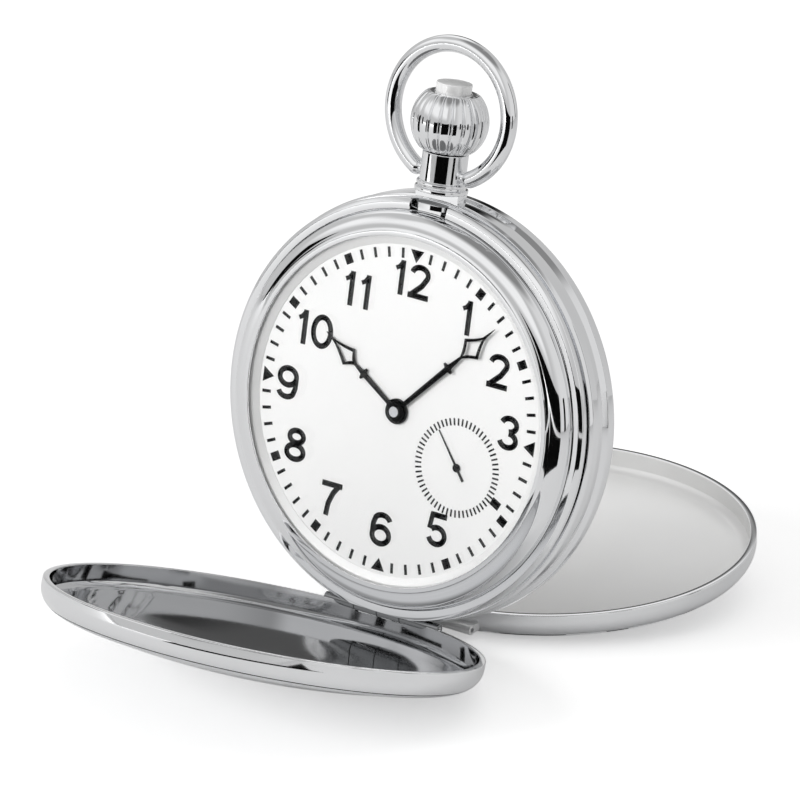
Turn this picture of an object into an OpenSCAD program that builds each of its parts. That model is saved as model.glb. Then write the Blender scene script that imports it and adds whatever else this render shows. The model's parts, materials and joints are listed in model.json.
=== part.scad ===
// Double-hunter pocket watch with a skeletonised movement, standing on its two open covers.
// Each piece is drawn in the dial frame: X to 3 o'clock, Y to 12 o'clock, Z out of the dial,
// with the dial's face at Z = 0. stand() then leans the watch back and sets it on the floor.

/* [Stance] */
// Angle by which the case leans back, degrees
lean = 5; // [3:0.5:7]
// Opening angle of the front cover, degrees
front_open = 82.5; // [80:0.5:84]

/* [Dial] */
// Width of the dial outside the middle of the minute track
track_in = 1.7; // [1.5:0.05:1.9]
// Thickness of the dial plate
dial_t = 0.4; // [0.3:0.05:0.45]
// Thickness of the printed numerals and marks
print_t = 0.03; // [0.02:0.01:0.05]
// Height of the hour numerals
numeral_h = 4.1; // [3.6:0.1:4.4]
// Distance from the minute track in to the circle of numerals
numeral_in = 3.7; // [3.4:0.1:4]
// Clock angle of the small-seconds centre, degrees
seconds_angle = 117; // [112:1:121]

/* [Case] */
// Radius of the band where the covers seat
band_r = 25.2; // [25:0.1:25.5]
// Thickness of the band between its bore and the seats
band_wall = 3.8; // [3.6:0.1:4]
// Depth of the front seat behind the dial's face
front_seat = 2.4; // [2.3:0.05:2.5]
// Height of the band between its two seats
band_w = 4.9; // [4.6:0.05:5.1]
// Depth of the lip behind the rear seat
lip_w = 1.5; // [1.2:0.1:1.8]
// Step from the band's edge in to the bezel
bezel_in = 1.7; // [1.5:0.05:1.9]
// Width of the bezel
bezel_w = 2.9; // [2.8:0.05:3]
// Height of the bezel's inner edge over the dial
bezel_h = 1.05; // [1:0.01:1.1]
// Thickness of the crystal
crystal_t = 0.5; // [0.45:0.01:0.55]

/* [Covers] */
// Overhang of the front cover beyond the band
front_over = 0.6; // [0.5:0.05:0.8]
// Overhang of the rear cover beyond the band
rear_over = 0.8; // [0.7:0.05:1]
// Thickness of a cover's rim
rim_t = 0.8; // [0.6:0.05:0.9]
// Thickness of a cover's shell
shell_t = 0.5; // [0.4:0.05:0.6]
// Straight height of a cover's side wall
wall_h = 1; // [0.8:0.1:1.4]
// Radius of the round shoulder of a cover
shoulder_r = 2.4; // [2.2:0.1:2.6]
// Depth of the front cover from rim to crown
front_depth = 6.2; // [6.1:0.1:6.5]
// Depth of the rear cover from rim to crown
rear_depth = 5.2; // [5:0.1:5.4]

/* [Hinges] */
// Radius of a hinge barrel
barrel_r = 0.6; // [0.55:0.05:0.7]
// Radius of a hinge pin
hinge_pin_r = 0.28; // [0.22:0.02:0.32]
// Radial clearance of a pin in its barrel
pin_gap = 0.03; // [0.02:0.01:0.05]
// Clearance round a barrel in the part that it turns in
barrel_gap = 0.12; // [0.1:0.01:0.16]
// Length of a hinge barrel
hinge_len = 16.2; // [15:0.2:17]
// Depth of the rear hinge axis behind the rear seat
rear_hinge_back = 2.1; // [2.05:0.05:2.2]

/* [Pendant, crown and bow] */
// Depth of the winding stem's axis behind the dial's face
stem_z = 3.3; // [3.2:0.05:3.4]
// Radius of the pendant's neck
neck_r = 2.7; // [2.6:0.05:2.8]
// Height of the pendant above the case
neck_h = 4.65; // [4.4:0.05:4.9]
// Radius of the collar
collar_r = 3.15; // [3:0.05:3.3]
// Radius of the ball of the crown
crown_ball_r = 4.6; // [4.3:0.1:4.8]
// Height of the crown
crown_h = 6.9; // [6.4:0.1:7.2]
// Number of flutes round the crown
crown_flutes = 20; // [18:2:24]
// Radius of the push button on the crown
button_r = 2.1; // [1.9:0.1:2.3]
// Height of the push button above the crown
button_h = 1.3; // [1.1:0.1:1.5]
// Radius of the bow's wire
bow_wire_r = 1; // [0.9:0.05:1.1]
// Radius of the middle of the bow's ring
bow_ring_r = 8.05; // [7.8:0.05:8.3]
// Height of the bow's pivot above the collar's foot
pivot_h = 2.15; // [2.1:0.05:2.3]
// Radius of the winding stem
stem_r = 0.7; // [0.6:0.05:0.8]

/* [Movement] */
// Thickness of the main plate
plate_t = 1.8; // [1.7:0.05:1.9]
// Gap between the dial's back and the main plate, for the motion work
motion_gap = 1; // [0.95:0.01:1.05]
// Room for the wheels between the plate and the bridges
train_gap = 1.4; // [1.35:0.01:1.45]
// Thickness of the bridges
bridge_t = 1; // [0.9:0.05:1.1]
// Width of the bridges' arms
arm_w = 1.9; // [1.7:0.1:2.1]
// Thickness of a train wheel
wheel_t = 0.22; // [0.18:0.01:0.24]
// Radius of a wheel's arbor
arbor_r = 0.3; // [0.25:0.01:0.32]
// Radius of the pivots of the train
pivot_r = 0.12; // [0.1:0.01:0.14]
// Radius of a train jewel
jewel_r = 0.7; // [0.6:0.05:0.8]
// Radius of the head of a bridge screw
screw_r = 0.85; // [0.75:0.05:0.9]

/* [Hidden] */
$fn = 72;
eps = 0.01;
touch = 0.02; // bite of one solid into the next where both are one piece

// Radii that follow from the band, from the outside in
front_cover_r = band_r + front_over;
rear_cover_r = band_r + rear_over;
front_hinge_y = band_r - 0.5; // the front hinge lies in a flat of the band
rear_hinge_y = band_r + 0.7; // the rear hinge stands behind it
collar_foot = band_r + 0.75;
neck_top = collar_foot + neck_h;
bezel_r = band_r - bezel_in;
crystal_r = bezel_r - bezel_w;
bore_r = band_r - band_wall;
back_crystal_r = bore_r - 0.8;
dial_r = crystal_r - 0.3;
track_r = dial_r - track_in;
numeral_r = track_r - numeral_in;
plate_r = bore_r - 3.2;
plan = plate_r / 182; // unit of the movement's plan, about a tenth of a millimetre
seconds_dist = 102 * plan;
seconds_r = 54 * plan;
balance_r = 52 * plan;

steel = "#c9ccd1";
polished = "#dfe2e6";
gold = "#d9b46a";
plate_c = "#c8c9c4";
ruby = "#b3124a";
blued = "#25345f";
black = "#111214";
glass_c = [0.85, 0.9, 0.93, 0.3];

// Depths of the main levels, as Z in the dial frame
seat_f = -front_seat;
seat_r = seat_f - band_w;
rim_gap = 0.1; // gap between a cover's rim and its seat
rim_f = seat_f + rim_gap;
rim_r = seat_r - rim_gap;
lip_z = seat_r - lip_w;
plate_front = -dial_t - motion_gap;
plate_back = plate_front - plate_t;
bridge_front = plate_back - train_gap;
bridge_back = bridge_front - bridge_t;
rear_hinge_z = seat_r - rear_hinge_back;

// Cover profile: the shoulder ends at a fine groove, and the dome starts inside it
shoulder_end = 77; // degrees round the shoulder where the groove starts
groove_w = 0.25;
function edge_r(rc) = rc - shoulder_r + shoulder_r * cos(shoulder_end);
function edge_h() = wall_h + shoulder_r * sin(shoulder_end);
function dome_r(rc) = edge_r(rc) - groove_w;
function sphere_r(rc, depth) =
    (pow(dome_r(rc), 2) + pow(depth - edge_h(), 2)) / (2 * (depth - edge_h()));

// The stand: both domes touch the floor, which gives the height of the case and the rear angle
tilt_f = 90 - front_open + lean;
sphere_f = sphere_r(front_cover_r, front_depth);
sphere_b = sphere_r(rear_cover_r, rear_depth);
drop_f = sphere_f - (sphere_f - front_depth) * cos(tilt_f) - front_hinge_y * sin(tilt_f);
hinge_f_up = -front_hinge_y * cos(lean) + rim_f * sin(lean);
hinge_b_up = -rear_hinge_y * cos(lean) + rear_hinge_z * sin(lean);
hinge_f_back = -front_hinge_y * sin(lean) - rim_f * cos(lean);
hinge_b_back = -rear_hinge_y * sin(lean) - rear_hinge_z * cos(lean);
stand_z = drop_f - hinge_f_up;
rim_over = rim_r - rear_hinge_z; // height of the open rear rim over its hinge axis
reach_b = sphere_b - rear_depth + rim_over;
rise_b = sphere_b - stand_z - hinge_b_up;
tilt_b = asin(min(1, rise_b / norm([rear_hinge_y, reach_b]))) - atan2(reach_b, rear_hinge_y);
rear_open = 90 - lean - tilt_b;
front_end = hinge_f_back - (front_hinge_y + front_cover_r - shoulder_r) * cos(tilt_f)
    - wall_h * sin(tilt_f) - shoulder_r;
rear_end = hinge_b_back + (rear_hinge_y + rear_cover_r - shoulder_r) * cos(tilt_b)
    - (rim_over - wall_h) * sin(tilt_b) + shoulder_r;
stand_y = -(front_end + rear_end) / 2;

// General shapes
module stand() {
    translate([0, stand_y, stand_z])
        rotate([90 - lean, 0, 0])
            children();
}

module opened(y, z, angle) {
    translate([0, y, z])
        rotate([angle, 0, 0])
            translate([0, -y, -z])
                children();
}

module slab(z0, z1) {
    translate([0, 0, min(z0, z1)])
        linear_extrude(abs(z1 - z0))
            children();
}

module disc(r, z0, z1) {
    translate([0, 0, min(z0, z1)])
        cylinder(r = r, h = abs(z1 - z0));
}

module ring(r_out, r_in, z0, z1) {
    difference() {
        disc(r_out, z0, z1);
        disc(r_in, min(z0, z1) - 1, max(z0, z1) + 1);
    }
}

module rod_x(r, x0, x1) {
    translate([x0, 0, 0])
        rotate([0, 90, 0])
            cylinder(r = r, h = x1 - x0);
}

module rod_y(r, y0, y1) {
    translate([0, y0, 0])
        rotate([-90, 0, 0])
            cylinder(r = r, h = y1 - y0);
}

module bar(p, q, w) {
    d = q - p;
    translate(p)
        rotate(atan2(d[1], d[0]))
            translate([0, -w / 2])
                square([norm(d), w]);
    translate(p)
        circle(d = w);
    translate(q)
        circle(d = w);
}

function polar(r, clock) = [r * sin(clock), r * cos(clock)];
function arc(c, rx, ry, a0, a1, n) =
    [for (i = [0 : n]) let (a = a0 + (a1 - a0) * i / n) c + [rx * cos(a), ry * sin(a)]];

// A stroke of even width along a path, used by the numerals
function dir_at(p, i) =
    let (a = p[max(i - 1, 0)], b = p[min(i + 1, len(p) - 1)], d = b - a) d / norm(d);
function side(p, i, w) = let (d = dir_at(p, i)) p[i] + w * [-d[1], d[0]];
module stroke(p, w) {
    n = len(p) - 1;
    polygon(concat([for (i = [0 : n]) side(p, i, w / 2)], [for (i = [n : -1 : 0]) side(p, i, -w / 2)]));
}

// A toothed outline with straight-flanked teeth. Tooth 0 points at angle phase.
tooth_tip = 0.85; // addendum in modules
tooth_root = 1.15; // dedendum in modules
function tooth_points(n, m, phase) = [
    for (i = [0 : n - 1], k = [0 : 3])
        let (
            half = [0.29, 0.13, -0.13, -0.29][k],
            r = n * m / 2 + m * ((k == 0 || k == 3) ? -tooth_root : tooth_tip),
            a = phase + (i - half) * 360 / n
        ) r * [cos(a), sin(a)]
];
module teeth(n, m, phase) {
    polygon(tooth_points(n, m, phase));
}

// A train wheel: toothed rim, spokes and hub, each cut clean through
module spokes(n, r, r_hub, w, phase) {
    circle(r = r_hub);
    for (i = [0 : n - 1])
        bar([0, 0], r * [cos(phase + i * 360 / n), sin(phase + i * 360 / n)], w);
}
module wheel_shape(n, m, phase, rim, arms, r_hub) {
    r_in = n * m / 2 - m * tooth_root - rim;
    difference() {
        teeth(n, m, phase);
        circle(r = r_in);
    }
    spokes(arms, r_in + rim / 2, r_hub, rim * 0.9, phase);
}

// Covers
module cover_shape(rc, depth) {
    rs = sphere_r(rc, depth);
    re = edge_r(rc);
    he = edge_h();
    rd = dome_r(rc);
    ri = rs - shell_t;
    r_in = rc - rim_t;
    r_sh = shoulder_r - shell_t;
    a_in = acos((r_in - rc + shoulder_r) / r_sh);
    a_out = shoulder_end - 4;
    c = [rc - shoulder_r, wall_h];
    last = c + r_sh * [cos(a_out), sin(a_out)];
    a_d = asin(rd / rs);
    a_i = asin(min(0.999, (last[0] - 0.5) / ri));
    rotate_extrude($fn = 180)
        polygon(concat(
            [[r_in + 0.12, 0], [rc - 0.12, 0], [rc, 0.12]],
            arc(c, shoulder_r, shoulder_r, 0, shoulder_end, 11),
            [[re - 0.06, he - 0.12], [rd + 0.03, he - 0.12]],
            arc([0, depth - rs], rs, rs, 90 - a_d, 90, 8),
            arc([0, depth - rs], ri, ri, 90, 90 - a_i, 8),
            arc(c, r_sh, r_sh, a_out, a_in, 8),
            [[r_in, 0.12]]
        ));
}

nick_r = 0.8; // nail nick of the rear cover
nick_depth = 0.3;
nick_len = 5;
lip_in = 0.3; // the catch lip stands this far inside the front cover's rim
lip_h = 0.35;
lip_angle = 10; // degrees of the rim that the lip takes

// Hinge sizes: the body's knuckles lie between two splits, and the cover's lie outside them
split_a = -hinge_len * 0.237;
split_b = hinge_len * 0.17;
knuckle_gap = 0.08;
module barrels(r, body_part) {
    if (body_part) {
        rod_x(r, split_a + knuckle_gap, (split_a + split_b) / 2 - knuckle_gap / 2);
        rod_x(r, (split_a + split_b) / 2 + knuckle_gap / 2, split_b - knuckle_gap);
    } else {
        rod_x(r, -hinge_len / 2, split_a);
        rod_x(r, split_b, hinge_len / 2);
    }
}

module pin_bore() {
    rod_x(hinge_pin_r + pin_gap, -hinge_len / 2 - 1, hinge_len / 2 + 1);
}

module front_cover_shape() {
    notch = barrel_r + barrel_gap;
    difference() {
        union() {
            translate([0, 0, rim_f])
                cover_shape(front_cover_r, front_depth);
            translate([0, -front_hinge_y, rim_f])
                barrels(barrel_r, false);
            // catch lip inside the rim at 12 o'clock
            translate([0, 0, rim_f + 0.4])
                rotate_extrude(angle = lip_angle, start = 90 - lip_angle / 2)
                    translate([front_cover_r - rim_t - lip_in, 0])
                        square([lip_in + 0.1, lip_h]);
        }
        translate([0, -front_hinge_y, rim_f]) {
            rod_x(notch, split_a, split_b);
            pin_bore();
        }
        translate([split_a, -front_hinge_y - 2 * rim_t - 0.6, rim_f - 1])
            cube([split_b - split_a, 2 * rim_t + 0.6, 1 + notch]);
    }
}

module front_cover() {
    color(polished) stand()
        opened(-front_hinge_y, rim_f, front_open)
            front_cover_shape();
}

module rear_cover_shape() {
    notch = barrel_r + barrel_gap;
    difference() {
        union() {
            translate([0, 0, rim_r])
                mirror([0, 0, 1])
                    cover_shape(rear_cover_r, rear_depth);
            translate([0, -rear_hinge_y, rear_hinge_z])
                barrels(barrel_r, false);
            // webs that join the knuckles to the wall
            translate([0, -rear_hinge_y, rear_hinge_z - barrel_r * 0.8])
                for (x = [[-hinge_len / 2, split_a], [split_b, hinge_len / 2]])
                    translate([x[0], 0, 0])
                        cube([x[1] - x[0], rear_hinge_y - rear_cover_r * 0.935, barrel_r * 1.6]);
        }
        translate([0, -rear_hinge_y, rear_hinge_z]) {
            rod_x(notch, split_a, split_b);
            pin_bore();
        }
        translate([split_a, -rear_hinge_y - 2, rear_hinge_z - notch])
            cube([split_b - split_a, 3.2, rear_hinge_back + 1 + notch]);
        // nail nick at 12 o'clock
        translate([0, rear_cover_r + nick_r - nick_depth, rim_r])
            rotate([0, 90, 0])
                cylinder(r = nick_r, h = nick_len, center = true);
    }
}

module rear_cover() {
    color(polished) stand()
        opened(-rear_hinge_y, rear_hinge_z, -rear_open)
            rear_cover_shape();
}

module front_hinge_pin() {
    color(steel) stand()
        translate([0, -front_hinge_y, rim_f])
            rod_x(hinge_pin_r, -hinge_len / 2, hinge_len / 2);
}

module rear_hinge_pin() {
    color(steel) stand()
        translate([0, -rear_hinge_y, rear_hinge_z])
            rod_x(hinge_pin_r, -hinge_len / 2, hinge_len / 2);
}

// Case
bezel_seat = -1.3; // front face of the band, where the bezel snaps on
rim_top = -1.0; // crown of the band's front rim
front_rim_r = band_r - 0.35; // the front rim fits inside the front cover
rear_lip_r = band_r - 0.9; // the rear lip fits inside the rear cover
skirt = 0.45; // thickness of a bezel's skirt in the bore
fit = 0.03; // clearance of snapped and pressed rings
hinge_flat = front_hinge_y - 0.3; // the band is flat beyond this under the front hinge
slot_w = 5.2; // width of the catch's slot in the front rim
recess_w = 10.6; // width of the recess for the catch's spring arms
catch_z = -1.9; // back face of the catch
catch_travel = 0.4; // inward travel of the catch

module band_profile() {
    polygon([
        [bore_r, lip_z], [rear_lip_r - 0.6, lip_z], [rear_lip_r - 0.4, lip_z + 0.2],
        [rear_lip_r, seat_r + 0.02], [rear_lip_r, seat_r], [band_r - 0.15, seat_r],
        [band_r + 0.05, seat_r + 0.12], [band_r + 0.1, seat_r + 0.35], [band_r + 0.1, seat_r + 1.35],
        [band_r, seat_r + 1.65], [band_r - 0.2, seat_r + 1.85], [band_r - 0.4, seat_r + 1.95],
        [band_r - 0.4, seat_r + 2.1], [band_r - 0.15, seat_r + 2.2], [band_r - 0.05, seat_r + 2.5],
        [band_r, (seat_f + seat_r) / 2 + 0.8], [band_r, seat_f - 0.6], [band_r - 0.1, seat_f - 0.2],
        [band_r - 0.25, seat_f], [band_r - 0.8, seat_f], [band_r - 0.95, seat_f + 0.15],
        [band_r - 0.8, seat_f + 0.3], [front_rim_r - 0.05, seat_f + 0.36],
        [front_rim_r, seat_f + 0.6], [front_rim_r - 0.12, rim_top - 0.4],
        [front_rim_r - 0.4, rim_top - 0.12], [front_rim_r - 0.75, rim_top],
        [bezel_r + 0.15, rim_top], [bezel_r + fit, rim_top - 0.1], [bezel_r + fit, bezel_seat],
        [bore_r, bezel_seat]
    ]);
}

module pendant_foot(gap, y0, y1) {
    intersection() {
        translate([0, 0, -stem_z])
            rod_y(collar_r - 0.1 + gap, y0, y1);
        translate([-5, y0, seat_r + 0.1 - gap])
            cube([10, y1 - y0, band_w - 0.2 + 2 * gap]);
    }
}

module case_band() {
    knuckle_w = split_b - split_a - 2 * knuckle_gap;
    color(polished) stand() {
        difference() {
            rotate_extrude($fn = 180)
                band_profile();
            // straight seat under the front hinge, with a channel for the cover's knuckles
            translate([-hinge_len / 2 - 0.35, -band_r - 2, rim_f - 1.4])
                cube([hinge_len + 0.7, band_r + 2 - hinge_flat, 2.9]);
            translate([0, -front_hinge_y, rim_f])
                rod_x(barrel_r + barrel_gap, -hinge_len / 2 - 0.2, hinge_len / 2 + 0.2);
            // pocket for the pendant's foot and the way for the stem
            pendant_foot(0, pendant_in, band_r + 2);
            translate([0, 0, -stem_z])
                rod_y(stem_r + 0.3, bore_r - 1, band_r);
            // slot for the catch
            translate([-slot_w / 2, bezel_r + 0.25, catch_z - 0.05])
                cube([slot_w, 3, 3]);
            translate([-recess_w / 2, bore_r - 1, catch_z - 0.05])
                cube([recess_w, 3.4, bezel_seat - catch_z + 1]);
            // groove for the lift spring under the bezel
            translate([0, 0, catch_z - 0.05])
                rotate_extrude(angle = 48, start = 214)
                    translate([bore_r - 1, 0])
                        square([1.9, bezel_seat - catch_z + 1]);
        }
        // knuckles of both hinges, each on its web
        difference() {
            union() {
                translate([0, -front_hinge_y, rim_f])
                    barrels(barrel_r, true);
                translate([split_a + knuckle_gap, -front_hinge_y + 0.15, rim_f - barrel_r])
                    cube([knuckle_w, front_hinge_y - hinge_flat + 0.35, barrel_r]);
                translate([0, -rear_hinge_y, rear_hinge_z])
                    barrels(barrel_r, true);
                translate([split_a + knuckle_gap, -rear_hinge_y - 0.3, rear_hinge_z])
                    cube([knuckle_w, rear_hinge_y + 0.3 - band_r + 0.6, rear_hinge_back + 0.9]);
            }
            translate([0, -front_hinge_y, rim_f])
                pin_bore();
            translate([0, -rear_hinge_y, rear_hinge_z])
                pin_bore();
        }
    }
}

module front_bezel() {
    lip = 0.25;
    r_seat = crystal_r + 0.28;
    color(polished) stand()
        difference() {
            rotate_extrude($fn = 180)
                polygon(concat(
                    [[crystal_r, bezel_h - lip], [crystal_r, bezel_h - 0.05], [crystal_r + 0.1, bezel_h],
                        [crystal_r + 0.5, bezel_h], [crystal_r + 0.65, bezel_h - 0.12]],
                    arc([crystal_r + 0.65, -1.05], bezel_w - 0.75, bezel_h + 0.8, 84, 8, 9),
                    [[bezel_r, rim_top], [bezel_r, bezel_seat], [bore_r - fit, bezel_seat],
                        [bore_r - fit, bezel_seat - 0.6], [bore_r - skirt, bezel_seat - 0.6],
                        [bore_r - skirt, bezel_seat], [r_seat, bezel_seat + 0.3],
                        [r_seat, bezel_h - lip]]
                ));
            // the skirt leaves room for the catch
            translate([-recess_w / 2, bore_r - 1.5, bezel_seat - 1])
                cube([recess_w, 2.2, 1]);
        }
}

module crystal() {
    r_in = crystal_r - fit;
    edge = crystal_r + 0.25;
    top = bezel_h - 0.07;
    foot = top - crystal_t;
    rise = 0.65; // height of the dome
    rs = (r_in * r_in + rise * rise) / (2 * rise);
    a = asin(r_in / rs);
    color(glass_c) stand()
        rotate_extrude($fn = 180)
            polygon(concat(
                [[edge, foot], [edge, bezel_h - 0.27], [r_in, bezel_h - 0.27]],
                arc([0, top + rise - rs], rs, rs, 90 - a, 90, 8),
                arc([0, foot + rise - rs], rs, rs, 90, 90 - a, 8)
            ));
}

module rehaut_ring() {
    foot_r = track_r + 0.95;
    top = bezel_h - 0.59;
    color(polished) stand()
        rotate_extrude($fn = 180)
            polygon([[foot_r, 0], [foot_r + 0.1, 0.06], [crystal_r - 0.15, top],
                [crystal_r + 0.2, top], [crystal_r + 0.2, 0]]);
}

module back_bezel() {
    lip = lip_z - 1.2;
    r_seat = back_crystal_r + 0.28;
    color(polished) stand()
        rotate_extrude($fn = 180)
            polygon([[bore_r - fit, lip_z + 0.7], [bore_r - skirt, lip_z + 0.7],
                [bore_r - skirt, lip_z], [r_seat, lip_z - 0.1], [r_seat, lip + 0.25],
                [back_crystal_r, lip + 0.25], [back_crystal_r, lip], [back_crystal_r + 0.7, lip],
                [rear_lip_r - 1.4, lip_z - 0.75], [rear_lip_r - 0.9, lip_z - 0.4],
                [rear_lip_r - 0.8, lip_z - fit], [bore_r - fit, lip_z - fit]]);
}

module back_crystal() {
    top = lip_z - 0.93;
    color(glass_c) stand()
        disc(back_crystal_r + 0.25, top, top + 0.7);
}

// Pendant, bow and crown
pendant_in = band_r - 0.9; // foot of the pendant in the band
module pendant() {
    bore = stem_r + 0.35;
    foot = collar_foot;
    color(polished) stand()
        difference() {
            union() {
                pendant_foot(0, pendant_in, foot + touch);
                translate([0, 0, -stem_z]) {
                    rod_y(collar_r, foot, foot + 0.55);
                    rod_y(neck_r + 0.05, foot + 0.5, foot + 0.85);
                    rod_y(collar_r - 0.15, foot + 0.8, foot + 1.2);
                    rod_y(neck_r, foot + 1.1, neck_top);
                }
            }
            translate([0, 0, -stem_z]) {
                rod_y(bore, pendant_in - 1, neck_top + 1);
                translate([0, bow_pivot, 0])
                    rod_x(bow_pin_r + bow_gap, -neck_r - 1, neck_r + 1);
            }
        }
}

bow_pin_r = 0.65; // radius of the pins that the bow turns on
bow_gap = 0.05;
bow_knob_r = bow_wire_r + 0.02; // radius of the balls at the bow's ends
bow_pivot = collar_foot + pivot_h;
bow_end_x = neck_r + bow_knob_r + 0.07;
bow_centre = bow_pivot + sqrt(bow_ring_r * bow_ring_r - bow_end_x * bow_end_x);
module bow() {
    drop = bow_centre - bow_pivot;
    end_a = atan2(-drop, bow_end_x);
    color(polished) stand()
        translate([0, bow_centre, -stem_z]) {
            rotate_extrude(angle = 180 - 2 * end_a, start = end_a)
                translate([bow_ring_r, 0])
                    circle(r = bow_wire_r, $fn = 36);
            for (s = [-1, 1])
                translate([s * bow_end_x, -drop, 0]) {
                    sphere(r = bow_knob_r);
                    rotate([0, -90 * s, 0])
                        cylinder(r = bow_pin_r, h = bow_end_x - neck_r + 1.1);
                }
        }
}

crown_gap = 0.15; // gap between the neck and the crown pushed home
crown_foot = neck_top + crown_gap;
module crown() {
    c = crown_foot + crown_h / 2;
    groove_r = 0.3;
    color(polished) stand()
        translate([0, c, -stem_z])
            rotate([-90, 0, 0])
                difference() {
                    intersection() {
                        sphere(r = crown_ball_r, $fn = 96);
                        cube([20, 20, crown_h], center = true);
                    }
                    for (i = [0 : crown_flutes - 1])
                        rotate([90, 0, i * 360 / crown_flutes])
                            rotate_extrude(angle = 110, start = -55, $fn = 48)
                                translate([crown_ball_r + 0.08, 0])
                                    circle(r = groove_r, $fn = 16);
                    // bore for the push button and its rod
                    translate([0, 0, crown_h / 2 - button_depth])
                        cylinder(r = button_r + button_gap, h = 5);
                    cylinder(r = rod_r + button_gap, h = 20, center = true);
                    // socket of the winding stem
                    translate([0, 0, -crown_h / 2 - 1])
                        cylinder(r = stem_r, h = 1 + stem_socket);
                }
}

stem_socket = 2.2; // depth of the stem in the crown
stem_bore = 4; // depth of the rod's bore below the neck's top
square_w = 0.8; // side of the square that turns the winding pinion
square_top = plate_r - 1; // top of the square above the dial centre
module winding_stem() {
    color(steel) stand()
        translate([0, 0, -stem_z])
            difference() {
                union() {
                    rod_y(stem_r, square_top, crown_foot + stem_socket);
                    translate([-square_w / 2, pinion_y - 1.1, -square_w / 2])
                        cube([square_w, square_top - pinion_y + 1.1 + touch, square_w]);
                }
                rod_y(rod_r + button_gap, neck_top - stem_bore, crown_foot + crown_h);
            }
}

button_depth = 1.1; // depth of the button's well in the crown
button_gap = 0.06;
button_travel = 0.8;
rod_r = 0.35; // radius of the button's rod in the hollow stem
button_foot = crown_foot + crown_h - button_depth + button_travel + 0.1;
module push_button() {
    top = crown_foot + crown_h;
    chamfer = 0.18;
    color(polished) stand()
        translate([0, 0, -stem_z])
            rotate([-90, 0, 0])
                rotate_extrude()
                    polygon([[0, button_foot], [button_r, button_foot],
                        [button_r, top + button_h - chamfer], [button_r - chamfer, top + button_h],
                        [0, top + button_h]]);
}

// The rod that the button presses down the hollow stem
module button_rod() {
    color(steel) stand()
        translate([0, 0, -stem_z])
            rod_y(rod_r, neck_top - stem_bore + button_travel + 0.2, button_foot);
}

tab_arch = 2.6; // radius of the arched top of the catch's tab
module cover_catch() {
    hook_r = front_cover_r - rim_t - lip_in - 0.1;
    tab_top = rim_top + 0.45;
    plate_r_in = bore_r + 0.75;
    color(steel) stand() {
        // hooked tab that stands in the slot of the front rim, arched along its top
        intersection() {
            ring(hook_r, hook_r - 0.55, catch_z, tab_top);
            translate([-2, 0, -5])
                cube([4, 30, 10]);
            translate([0, hook_r + 1, tab_top - tab_arch])
                rotate([90, 0, 0])
                    cylinder(r = tab_arch, h = 4, $fn = 72);
        }
        translate([-1.6, plate_r_in, catch_z])
            cube([3.2, hook_r - 0.3 - plate_r_in, 0.5]);
        // spring arms
        translate([0, 0, catch_z])
            rotate_extrude(angle = 24, start = 78)
                translate([plate_r_in, 0])
                    square([0.35, 0.5]);
    }
}

module lift_spring() {
    color(steel) stand()
        translate([0, 0, catch_z - 0.05]) {
            rotate_extrude(angle = 40, start = 218)
                translate([bore_r + 0.15, 0])
                    square([0.3, 0.5]);
            rotate_extrude(angle = 7, start = 218)
                translate([bore_r + 0.15, 0])
                    square([0.7, 0.5]);
        }
}

module movement_ring() {
    top = bezel_seat - 0.65;
    color(plate_c) stand()
        difference() {
            rotate_extrude($fn = 180)
                polygon([[plate_r + fit, plate_front - 0.1], [plate_r + fit, ring_back],
                    [bore_r - fit, ring_back], [bore_r - fit, top], [bore_r - skirt - 0.3, top],
                    [bore_r - skirt - 0.3, -dial_t], [plate_r + 0.4, -dial_t],
                    [plate_r + 0.4, plate_front - 0.1]]);
            translate([0, 0, -stem_z])
                rod_y(stem_r + 0.2, plate_r - 1, bore_r + 1);
            for (a = case_screw_at)
                translate(concat(polar(plate_r + 0.75, a), [0]))
                    disc(0.42, ring_back - 1, plate_front - 0.4);
        }
}
ring_back = plate_back; // rear face of the movement ring
case_screw_at = [38, 158, 278]; // clock angles of the case screws

module case_screws() {
    color(steel) stand()
        for (a = case_screw_at)
            translate(concat(polar(plate_r + 0.75, a), [0]))
                difference() {
                    union() {
                        disc(1.35, ring_back, ring_back - 0.45);
                        disc(0.38, ring_back - touch, plate_front - 0.5);
                    }
                    rotate(a)
                        translate([-0.14, -2, ring_back - 0.55])
                            cube([0.28, 4, 0.28]);
                }
}

// Dial and its print
function seconds_at() = polar(seconds_dist, seconds_angle);
dial_hole = 1.45; // radius of the hole for the hour wheel's pipe
seconds_hole = 0.45;
dial_foot_at = [40, 228]; // clock angles of the dial's feet
module dial() {
    color("#f6f6f4") stand() {
        difference() {
            disc(dial_r, -dial_t, 0);
            disc(dial_hole, -dial_t - 1, 1);
            translate(concat(seconds_at(), [0]))
                disc(seconds_hole, -dial_t - 1, 1);
        }
        for (a = dial_foot_at)
            translate(concat(polar(plate_r - 2, a), [0]))
                disc(0.4, -dial_t + touch, plate_back + 0.5);
    }
}

module dial_screws() {
    color(steel) stand()
        for (a = dial_foot_at)
            rotate(-a)
                translate([0, 0, (plate_front + plate_back) / 2])
                    rod_y(0.3, plate_r - 1.58, plate_r - 0.1);
}

mark_len = 1.2;
mark_thin = 0.37;
mark_thick = 1.02;
triangle_w = 1.85;
triangle_h = 1.5;
tick_len = 0.85;
tick_w = 0.21;
baton = [1, 1.3]; // width and length of the short baton at 4 o'clock
baton_at = [116.7, 1.9]; // its clock angle, and its place inside the minute track
module mark_at(r, clock) {
    translate(polar(r, clock))
        rotate(-clock)
            children();
}

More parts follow.
